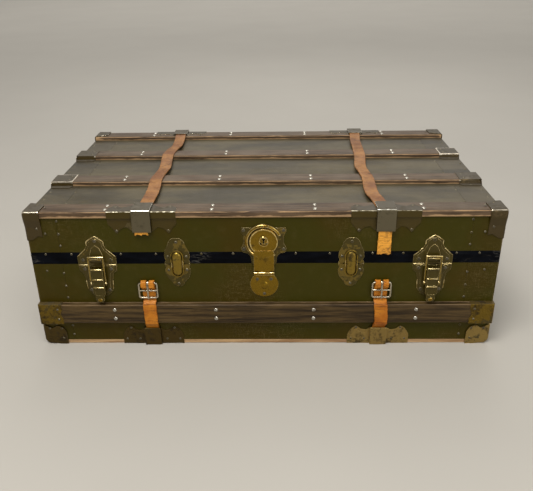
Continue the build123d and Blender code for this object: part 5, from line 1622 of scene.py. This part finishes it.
@dataclass
class DrawBolts(Assembly):
    """The two draw bolts: base, keeper, lever and bail."""

    pivot_y: float = -290.0
    lever_z: float = 176.0
    bail_z: float = 148.0
    bar_z: float = 205.0
    ledge_z: float = 202.5
    lever_face: float = 295.0
    keeper_outline: Outline = ((0, 247), (8, 243), (17, 236), (17, 227), (21, 219), (38, 203), (38, 186.65),
        (0, 186.65))
    base_outline: Outline = ((0, 186.35), (38, 186.35), (37, 172), (29, 165), (27, 150), (26, 130), (18, 119),
        (8, 114), (0, 113))
    keeper_field: Outline = ((0, 242), (6, 239), (13, 233), (13, 226), (17, 217), (31, 203), (32, 190),
        (0, 190))
    base_field: Outline = ((0, 183), (32, 183), (31, 173), (23, 165), (21, 150), (20, 132), (13, 122),
        (0, 118))
    cut: float = 3.5

    def backing(self, outline: Sequence[Pair], inner: Sequence[Pair]) -> list[Thing]:
        """Make the raised field and the plate under it, right of the middle, in painted brass.

        Args:
            outline: the right half of the plate.
            inner: the right half of the field.
        Returns:
            The field and the plate.
        """
        plates = [Bench.plate(mirrored(half, BOLT_X), FRONT, OUT_Y + base, amount, 1.0, 0.5)
            for half, base, amount in ((inner, 1.0, 1.1), (outline, 0.0, PLATE))]
        return [dressed(Bench.lattice(plate, self.cut), Paint.DARK_BRASS) for plate in plates]

    def ridges(self, lines: Sequence[tuple[Pair, Pair]], radius: float) -> list[Thing]:
        """Lay rolled edges along straight lines on both sides of a plate.

        Args:
            lines: pairs of ends, on the right half of the plate.
            radius: radius of the rolled edge.
        Returns:
            The edges, in bright brass.
        """
        depth = -OUT_Y - PLATE + 0.2
        rods = [Bench.rod((BOLT_X + s * a[0], depth, a[1]), (BOLT_X + s * b[0], depth, b[1]), radius, 10, 0.3)
            for s in SIDES for a, b in lines]
        return [dressed(rod, Paint.BRASS) for rod in rods]

    def keeper(self) -> Thing:
        """Model the keeper on the lid, right of the middle."""
        backing = self.backing(self.keeper_outline, self.keeper_field)
        boss = Bench.plate(mirrored([(0, 229), (8, 222), (13, 208), (15, 188), (0, 188)], BOLT_X), FRONT,
            OUT_Y + 1.0, 2.8, 2.0, 1.2)
        ledge = Bench.block((BOLT_X - 11, BOLT_X + 11), (-OUT_Y - 13, -OUT_Y - 1), (self.ledge_z - 3,
            self.ledge_z), 0.7)
        screws = Fastener.SCREW.on(FRONT, OUT_Y + 2.0, [(BOLT_X, 236.5), (BOLT_X - 27, 196),
            (BOLT_X + 27, 196)])
        edges = self.ridges([((0, 246.3), (16.4, 235.6)), ((16.6, 235), (16.6, 227)),
            ((20.8, 219), (37.2, 203.2))], 0.9)
        parts = [screws, dressed(ledge, Paint.BRASS), *edges]
        return Bench.join([*parts, dressed(Bench.lattice(boss, self.cut), Paint.DARK_BRASS), *backing])

    def base(self) -> Thing:
        """Model the base on the case, right of the middle."""
        parts = self.backing(self.base_outline, self.base_field)[::-1]
        for side in SIDES:
            ear = Bench.block(sorted((BOLT_X + side * 6.5, BOLT_X + side * 9.5)), (self.pivot_y - 2.6,
                -OUT_Y - 1), (self.lever_z - 3, self.lever_z + 3), 1.0)
            parts.append(dressed(ear, Paint.BRASS))
        pin = Bench.rod((BOLT_X - 12.4, self.pivot_y, self.lever_z), (BOLT_X + 12.4, self.pivot_y,
            self.lever_z), 1.5)
        places = [(BOLT_X + dx, z) for dx, z in ((-26, 176), (26, 176), (-18, 129), (18, 129))]
        screws = Fastener.SCREW.on(FRONT, OUT_Y + 2.0, places)
        edges = self.ridges([((18.0, 184.8), (37.0, 184.8)), ((26.5, 150), (25.6, 131))], 0.9)
        return Bench.join([dressed(pin, Paint.BRASS), screws, *edges, *reversed(parts)])

    def lever(self, x: float) -> Thing:
        """Model a lever with its ribs, sunk fields and thumb piece.

        Args:
            x: where its middle is.
        Returns:
            The lever.
        """
        top = self.lever_z + 6
        outline = mirrored([(0, top), (12, top), (12, 127), (8.6, 120), (8.6, 112), (5.5, 107), (0, 106.5)])
        depth = 8.0
        shell = Bench.plate(shifted(outline, x), FRONT, self.lever_face - depth, depth, 1.2, 1.0)
        hollow = mirrored([(0, top + 1), (10.6, top + 1), (10.6, 128), (7.0, 120), (7.0, 113), (0, 110)])
        tool = Bench.plate(shifted(hollow, x), FRONT, self.lever_face - depth - 2, depth + 0.4, 0.8, 0.0)
        Bench.combine(shell, Blend.CUT, tool)
        for low, high, half in ((160.5, 178.0, 9.2), (143.0, 155.5, 9.2), (122.5, 138.0, 7.2)):
            field_cut = Bench.block((x - half, x + half), (-self.lever_face - 1, -self.lever_face + 0.9),
                (low, high), 0.8, 2, lambda m, way: abs(way.y) > ALONG)
            Bench.combine(shell, Blend.CUT, field_cut)
        Bench.soften(shell, 0.3)
        ribs = [Bench.rod((x - 10.5, -self.lever_face + 0.2, z), (x + 10.5, -self.lever_face + 0.2, z), r)
            for z, r in ((180.2, 1.7), (158.0, 1.5), (140.5, 1.4))]
        trunnions = [Bench.rod((x + s * 11, self.pivot_y, self.bail_z), (x + s * 16.6, self.pivot_y,
            self.bail_z), 1.5) for s in SIDES]
        bpy.ops.mesh.primitive_uv_sphere_add(segments=20, ring_count=12, radius=6.2 * MM, location=(x * MM,
            (-self.lever_face + 2.0) * MM, 112.2 * MM))
        bpy.context.object.scale = (1, 0.5, 0.8)
        tip = dressed(Bench.settle(bpy.context.object), Paint.LOCK_BRASS)
        parts = [dressed(part, Paint.BRASS) for part in ribs + trunnions]
        return Bench.join([tip, *parts, dressed(Bench.lattice(shell, self.cut), Paint.DARK_BRASS)])

    def bail(self, x: float) -> Thing:
        """Model a bail.

        Args:
            x: where its middle is.
        Returns:
            The bail.
        """
        y = self.pivot_y
        bar = Bench.rod((x - 16, y, self.bar_z), (x + 16, y, self.bar_z), 2.2, 20, 1.0)
        parts = [bar]
        for side in SIDES:
            arm = sorted((x + side * 13, x + side * 16))
            parts.append(Bench.block(arm, (y - 2.2, y + 2.2), (self.bail_z, self.bar_z), 0.7))
            eye = Bench.rod((arm[0], y, self.bail_z), (arm[1], y, self.bail_z), 3.6, 20, 0.6)
            parts.append(eye)
        return Bench.join(parts)

    def build(self) -> None:
        """Build both draw bolts."""
        keeper = self.keeper()
        pair = Bench.pair(keeper)
        self.finish(pair, "bolt_keepers", "lid", Paint.DARK_BRASS, "brass", "draw_bolt_keepers")
        base = self.base()
        pair = Bench.pair(base)
        self.finish(pair, "bolt_bases", "case", Paint.DARK_BRASS, "brass", "draw_bolt_bases")
        for name, side in (("left", -1), ("right", 1)):
            self.finish(self.lever(side * BOLT_X), f"bolt_lever_{name}", f"draw_bolt_lever_{name}",
                Paint.DARK_BRASS, "brass", f"draw_bolt_lever_{name}")
            self.finish(self.bail(side * BOLT_X), f"bolt_bail_{name}", f"draw_bolt_bail_{name}", Paint.BRASS,
                "brass", f"draw_bolt_bail_{name}")


@dataclass
class Dowels(Assembly):
    """The two oval dowel fittings, each split at the joint line."""

    outline: Outline = ((0, 242), (7, 241.5), (12, 238), (16, 232), (18, 225), (22, 217), (25, 207),
        (25, 199), (22.5, 194.5), (25, 190), (25, 183), (22.5, 178.5), (25, 174), (25, 167), (22, 158),
        (17, 151), (13, 147), (10.5, 140.5), (5, 136.5), (0, 136))
    capsule_z: float = 187.5

    def whole(self) -> Thing:
        """Model a closed fitting, right of the middle."""
        plate = Bench.plate(mirrored(self.outline, DOWEL_X), FRONT, OUT_Y, PLATE, 1.5, 0.5)
        rim, hole, dome = (Bench.trace(self.capsule(*sizes), FRONT, OUT_Y + 1.0) for sizes in ((13.0, 29.0),
            (10.8, 26.8), (9.7, 25.7)))
        Bench.thicken(rim, FRONT, 3.4, 0.9)
        Bench.combine(rim, Blend.CUT, Bench.thicken(hole, FRONT, 9.0))
        Bench.thicken(dome, FRONT, 6.6)
        Bench.round_edges(dome, 5.2, 6, lambda m, way: m.y < -OUT_Y - 7.5)
        return Bench.join([dressed(dome, Paint.BRASS), dressed(rim, Paint.BRASS),
            dressed(Bench.lattice(plate), Paint.WORN_PAINT)])

    def capsule(self, across: float, up: float, sides: int = 24) -> list[Pair]:
        """Trace a capsule with round ends by its half width and half height."""
        turns = [math.pi * (i + 0.5) / sides for i in range(2 * sides)]
        return [(DOWEL_X + across * math.cos(a), self.capsule_z + across * math.sin(a) + math.copysign(up -
            across, math.sin(a))) for a in turns]

    def half(self, whole: Thing, top: bool) -> Thing:
        """Cut a copy of the fitting at the joint line.

        Args:
            whole: the closed fitting.
            top: whether the upper half is kept.
        Returns:
            That half.
        """
        part = Bench.copy(whole)
        edge = SEAM_Z + (0.15 if top else -0.15)
        with Bench.edit(part):
            Bench.everything()
            bpy.ops.mesh.bisect(plane_co=(0, 0, edge * MM), plane_no=(0, 0, 1), use_fill=True,
                clear_inner=top, clear_outer=not top)
        Bench.outward(part)
        return part

    def build(self) -> None:
        """Build both fittings."""
        whole = self.whole()
        for name, body, top, node, nails in (("dowel_tops", "lid", True, "dowel_tongues",
                [(0, 233.5), (-18, 202), (18, 202)]), ("dowel_cups", "case", False, "dowel_sockets",
                [(0, 142.5), (-18, 173), (18, 173)])):
            part = self.half(whole, top)
            heads = Fastener.PLATE_NAIL.on(FRONT, OUT_Y + 1.4, [(DOWEL_X + dx, z) for dx, z in nails])
            part = Bench.join([heads, part])
            if top:
                pin = Bench.block((DOWEL_X - 6, DOWEL_X + 6), (-OUT_Y - 6.6, -OUT_Y - 3.4), (175, SEAM_Z + 2),
                    0.8)
                part = Bench.join([dressed(pin, Paint.BRASS), part])
            pair = Bench.pair(part)
            self.finish(pair, name, body, Paint.WORN_PAINT, "brass", node)
        bpy.data.objects.remove(whole, do_unlink=True)


@dataclass
class LockSet(Assembly):
    """The hasp lock: receiver and horseshoe on the lid, hinged hasp, key plug, and the plate below."""

    ring_z: float = 234.0
    hasp_z: float = 167.0
    hinge_y: float = -285.3
    plug_z: float = 238.0
    receiver_outline: Outline = ((0, 262), (42, 264), (44, 256), (39, 246), (39, 230), (44, 220), (42, 211),
        (30, 208), (25, 200), (24, 186.65), (0, 186.65))

    def receiver(self) -> Thing:
        """Model the plate on the lid with its horseshoe rim."""
        plate = Bench.plate(mirrored(self.receiver_outline), FRONT, OUT_Y, PLATE, 2.0, 0.5)
        tool = Bench.block((-7, 7), (-OUT_Y - 3, -OUT_Y + 2), (218, 231))
        Bench.combine(plate, Blend.CUT, tool)
        rim = [(30.4, OUT_Y + 1.0), (30.4, OUT_Y + 3.6), (31.4, OUT_Y + 5.0), (33.0, OUT_Y + 5.6),
            (35.0, OUT_Y + 5.2), (36.6, OUT_Y + 3.8), (37.2, OUT_Y + 1.0)]
        horseshoe = Bench.lathe(rim, (0, self.ring_z), FRONT, start=-52, angle=284, steps=56)
        screws = Fastener.SCREW.on(FRONT, OUT_Y + PLATE, [(sx * 38.5, z) for sx in SIDES for z in (258, 218)])
        return Bench.join([screws, dressed(horseshoe, Paint.LOCK_BRASS), dressed(Bench.lattice(plate),
            Paint.WORN_PAINT)])

    def hasp(self) -> Thing:
        """Model the hasp: a dished disc on a broad arm with its knuckle."""
        back = OUT_Y + 2.0
        profile = [(8.05, back), (28.0, back), (28.0, back + 1.6), (27.0, back + 2.9), (25.0, back + 3.3),
            (23.4, back + 2.6), (22.4, back + 2.2), (15.0, back + 2.4), (12.6, back + 3.0),
            (10.0, back + 3.3), (8.05, back + 3.0)]
        disc = Bench.lathe(profile + profile[:1], (0, self.ring_z), FRONT, steps=64)
        arm = mirrored([(0, 216), (18, 216), (20, 211), (20, self.hasp_z + 4.5), (10.6, self.hasp_z + 4.5),
            (10.6, self.hasp_z), (0, self.hasp_z)])
        arm_plate = Bench.plate(arm, FRONT, back, 3.45, 0.0, 0.7)
        knuckle = Bench.rod((-10.6, self.hinge_y, self.hasp_z), (10.6, self.hinge_y, self.hasp_z), 3.4, 24,
            0.4)
        staple = Bench.block((-5, 5), (-OUT_Y - 2.4, -OUT_Y - 0.5), (220, 229), 0.6)
        return Bench.join([knuckle, staple, Bench.lattice(arm_plate), disc])

    def plug(self) -> Thing:
        """Model the key plug with a keyhole sunk in its face; near-black sheets on the keyhole's floor are
        painted shade.
        """
        back = OUT_Y + 2.0
        profile = [(0, back), (8.0, back), (8.0, back + 3.2), (7.4, back + 3.8), (0, back + 3.9)]
        plug = Bench.lathe(profile, (0, self.plug_z), FRONT, steps=32)
        eye = Bench.disc((0, self.plug_z + 2.8), (3.4, 2.8), FRONT, back + 0.8, 5, 0.0, 20)
        slit = Bench.block((-1.5, 1.5), (-OUT_Y - 8, -OUT_Y - 2.8), (self.plug_z - 6.6, self.plug_z + 2))
        Bench.combine(plug, Blend.CUT, eye, slit)
        # near-black sheets on the keyhole's floor: painted shade standing in for the dark inside of the hole
        shade_sheets = [Bench.disc((0, self.plug_z + 2.8), (3.3, 2.7), FRONT, back + 0.8, 0.3, 0.0, 20),
            Bench.block((-1.45, 1.45), (-OUT_Y - 3.1, -OUT_Y - 2.8), (self.plug_z - 6.5, self.plug_z + 2))]
        dark = Paint.HOLLOW
        return Bench.join([dressed(floor, dark) for floor in shade_sheets] + [dressed(Bench.lattice(plug, 2.0),
            Paint.LOCK_BRASS)])

    def lower_plate(self) -> Thing:
        """Model the round plate under the hasp with its outer knuckles."""
        round_part = Bench.disc((0, 140), (28, 28), FRONT, OUT_Y, PLATE, 0.6, 56)
        stem = Bench.plate([(-20, 171), (20, 171), (20, 160), (-20, 160)], FRONT, OUT_Y, PLATE + 0.5, 0.0,
            0.4)
        boss = Bench.lathe([(0, OUT_Y + 3.6), (4.5, OUT_Y + 3.2), (7.5, OUT_Y + 1.9), (9.0, OUT_Y + 1.2),
            (0, OUT_Y + 1.0)], (0, 138), FRONT, steps=32)
        knuckles = [Bench.rod((s * 11, self.hinge_y, self.hasp_z), (s * 20, self.hinge_y, self.hasp_z), 3.4,
            24, 0.4) for s in SIDES]
        webs = [Bench.block(sorted((s * 11, s * 20)), (self.hinge_y, -OUT_Y - 1), (self.hasp_z - 3.4,
            self.hasp_z)) for s in SIDES]
        screws = Fastener.SCREW.on(FRONT, OUT_Y + PLATE, [(-13.5, 152), (13.5, 152), (0, 119)])
        body = Bench.join([boss, *knuckles, *webs, stem, Bench.lattice(round_part)])
        return Bench.join([screws, dressed(body, Paint.LOCK_BRASS)])

    def build(self) -> None:
        """Build the lock."""
        self.finish(self.receiver(), "lock_horseshoe", "lid", Paint.WORN_PAINT, "brass", "lock_receiver")
        self.finish(self.hasp(), "lock_arm", "lock_hasp", Paint.LOCK_BRASS, "brass", "lock_hasp")
        self.finish(self.plug(), "lock_key_plug", "lock_plug", Paint.LOCK_BRASS, "brass", "lock_plug")
        self.finish(self.lower_plate(), "lock_foot", "case", Paint.LOCK_BRASS, "brass", "lock_lower_plate")


@dataclass
class Handles(Assembly):
    """The leather handles on the ends, under riveted loops."""

    height: float = 24.0
    middle_z: float = 143.0
    bow: float = 28.0
    reach: float = 91.5
    skin: float = 1.4
    loop_outline: Outline = ((0, 22), (17, 22), (23, 12), (19, 0), (23, -12), (17, -22), (0, -22))
    steps: int = 40

    def grip(self) -> Thing:
        """Model the right-hand grip, flat at its ends and swollen in the middle."""
        bpy.ops.mesh.primitive_cube_add(size=2)
        thing = bpy.context.object
        with Bench.edit(thing, "EDGE"):
            Bench.choose(thing, "edges", lambda m, way: abs(way.y) > ALONG)
            bpy.ops.mesh.subdivide(number_cuts=self.steps)
            Bench.choose(thing, "edges", lambda m, way: abs(way.y) > ALONG)
            bpy.ops.mesh.bevel(offset=0.62, segments=3, affect="EDGES")
        for vertex in thing.data.vertices:
            t = vertex.co.y
            rise = math.cos(min(1.0, abs(t) / 0.84) * math.pi / 2) ** 0.9
            thick = 2.6 + 2.4 * math.cos(t * math.pi / 2) ** 2
            tall = self.height / 2 * (1.0 - 0.22 * math.cos(t * math.pi / 2) ** 2)
            x = OUT_X + 1.8 + 2.4 + (self.bow - 6.4) * rise + vertex.co.x * thick * (0.9 if rise < 0.01
                else 1.0)
            vertex.co = Vector((x, t * self.reach, self.middle_z + vertex.co.z * tall)) * MM
        Bench.outward(thing)
        return thing

    def bracket(self) -> Thing:
        """Model the loop that holds the grip's back end on the right-hand side."""
        plate = Bench.plate(shifted(mirrored(self.loop_outline), 85, self.middle_z), END, OUT_X, PLATE, 3.0,
            0.5)
        path = [(66, 0.8), (73, 1.5), (77, 9), (82, 13.5), (91, 13.5), (96, 9), (100, 1.5), (107, 0.8)]
        section = [(OUT_X + h + self.skin, y) for y, h in path] + [(OUT_X + h, y) for y, h in reversed(path)]
        strap = Bench.bar(section, TOP, self.middle_z - 15, 30)
        Bench.soften(strap, 0.5)
        screws = Fastener.SCREW.on(END, OUT_X + PLATE + 0.6, [(y, self.middle_z + dz) for y in (70, 101)
            for dz in (16, -16)])
        return Bench.join([screws, dressed(strap, Paint.DARK_BRASS), dressed(plate, Paint.DARK_BRASS)])

    def build(self) -> None:
        """Build both handles and their four loops."""
        grip = self.grip()
        pair = Bench.pair(grip)
        self.finish(pair, "end_grips", "case", Paint.HANDLE, "handle_leather", "handles", 60)
        self.finish(Bench.four(self.bracket()), "grip_loops", "case", Paint.DARK_BRASS, "brass",
            "handle_brackets")


@dataclass
class BackAndInside(Assembly):
    """Screws in the hinge leaves, and the tape loops that lift the tray."""

    tape: float = 30.0

    def build(self) -> None:
        """Build the screws and the tapes."""
        xs = [x + dx for x in (-HINGE_X, 0.0, HINGE_X) for dx in (-20, 20)]
        for name, body, heights in (("hinge_screws_low", "case", (144, 170)), ("hinge_screws_high", "lid",
                (202, 226))):
            heads = Fastener.SCREW.on(FRONT, OUT_Y + PLATE, [(x, z) for x in xs for z in heights], back=True)
            self.finish(heads, name, body, Paint.IRON, "nickel", smooth=60)
        self.tapes()

    def tapes(self) -> None:
        """Build the two lifting tapes."""
        wall = 430.0
        path = [(0.0, 131), (0.4, 150), (1.2, 168), (2.2, 178), (0.8, 184), (-1.4, 180), (-1.0, 169)]
        bpy.ops.mesh.primitive_grid_add(x_subdivisions=10, y_subdivisions=24, size=2)
        tape = bpy.context.object
        count = len(path) - 1
        for vertex in tape.data.vertices:
            t = (vertex.co.y + 1) / 2 * count
            i = min(count - 1, int(t))
            (h0, z0), (h1, z1) = path[i], path[i + 1]
            f = t - i
            squeeze = 1.0 - 0.08 * math.sin(math.pi * t / count)
            vertex.co = Vector((wall - 1.4 - (h0 + (h1 - h0) * f), vertex.co.x * self.tape / 2 * squeeze,
                z0 + (z1 - z0) * f)) * MM
        Bench.modify(tape, "SOLIDIFY", thickness=1.1 * MM, offset=0.0)
        Bench.outward(tape)
        Bench.modify(tape, "SUBSURF", levels=1, render_levels=1)
        pair = Bench.pair(tape)
        self.finish(pair, "tray_tapes", "tray", Paint.HANDLE, "handle_leather", "tray_pull_tabs", 60)


@dataclass
class Studio:
    """A pale floor, soft lights and the camera."""

    lens: float = 41.77
    place: Triple = (0.03078, -1.3575, 0.7428)
    pitch: float = 24.97
    yaw: float = -1.34
    roll: float = -0.83
    shift: float = -0.014

    def camera(self) -> None:
        """Set up the camera."""
        pitch, yaw, roll = (math.radians(v) for v in (self.pitch, self.yaw, self.roll))
        ahead = Vector((math.sin(yaw) * math.cos(pitch), math.cos(yaw) * math.cos(pitch), -math.sin(pitch)))
        right = ahead.cross(Vector((0, 0, 1))).normalized()
        up = right.cross(ahead)
        tilted = right * math.cos(roll) + up * math.sin(roll)
        above = -right * math.sin(roll) + up * math.cos(roll)
        bpy.ops.object.camera_add()
        camera = bpy.context.object
        camera.name = "camera"
        rows = [[tilted[i], above[i], -ahead[i], self.place[i]] for i in range(3)] + [[0, 0, 0, 1]]
        camera.matrix_world = Matrix(rows)
        camera.data.lens = self.lens
        camera.data.shift_y = self.shift
        camera.data.clip_start = 0.05
        bpy.context.scene.camera = camera

    def lights(self) -> None:
        """Hang the soft boxes and set the ambient light."""
        boxes = (("key", (-0.5, -1.3, 2.6), (0, -0.1, 0.2), 1.3, 62.0), ("back", (0.3, 2.2, 2.4),
            (0, 0.1, 0.25), 2.4, 22.0), ("fill", (1.6, -2.6, 1.2), (0, 0, 0.15), 2.0, 26.0),
            ("far", (0, 9.5, 4.5), (0, 9.5, 0), 12.0, 380.0))
        for name, place, target, size, power in boxes:
            bpy.ops.object.light_add(type="AREA", location=place)
            light = bpy.context.object
            light.name = f"light_{name}"
            light.data.size = size
            light.data.energy = power
            light.data.color = (1.0, 0.97, 0.92)
            light.rotation_euler = (Vector(target) - Vector(place)).to_track_quat("-Z", "Y").to_euler()
        world = bpy.data.worlds.new("studio")
        world.use_nodes = True
        ambient = world.node_tree.nodes["Background"].inputs
        ambient["Color"].default_value = (1.0, 0.97, 0.91, 1.0)
        ambient["Strength"].default_value = 0.36
        bpy.context.scene.world = world
        bpy.context.scene.view_settings.view_transform = "Standard"

    def floor(self) -> None:
        """Lay the floor."""
        bpy.ops.mesh.primitive_plane_add(size=40.0, location=(0, 0, 0))
        floor = bpy.context.object
        floor.name = "floor"
        floor.data.materials.append(StudioFloor().make())

    def build(self) -> None:
        """Build the studio."""
        self.camera()
        self.lights()
        self.floor()


def main() -> None:
    """Build the trunk around the frame, one sub-assembly after another."""
    logging.basicConfig(level=logging.INFO, format="%(name)s: %(message)s")
    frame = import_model()
    bpy.ops.object.select_all(action="DESELECT")
    Studio().build()
    Carcass(frame).dress()
    for assembly in (Slats, Nailing, Clamps, Corners, StrapLoops, Straps, Buckles, DrawBolts, Dowels, LockSet,
            Handles, BackAndInside):
        LOG.info("building %s", assembly.__name__)
        assembly().build()


if __name__ == "__main__":
    main()
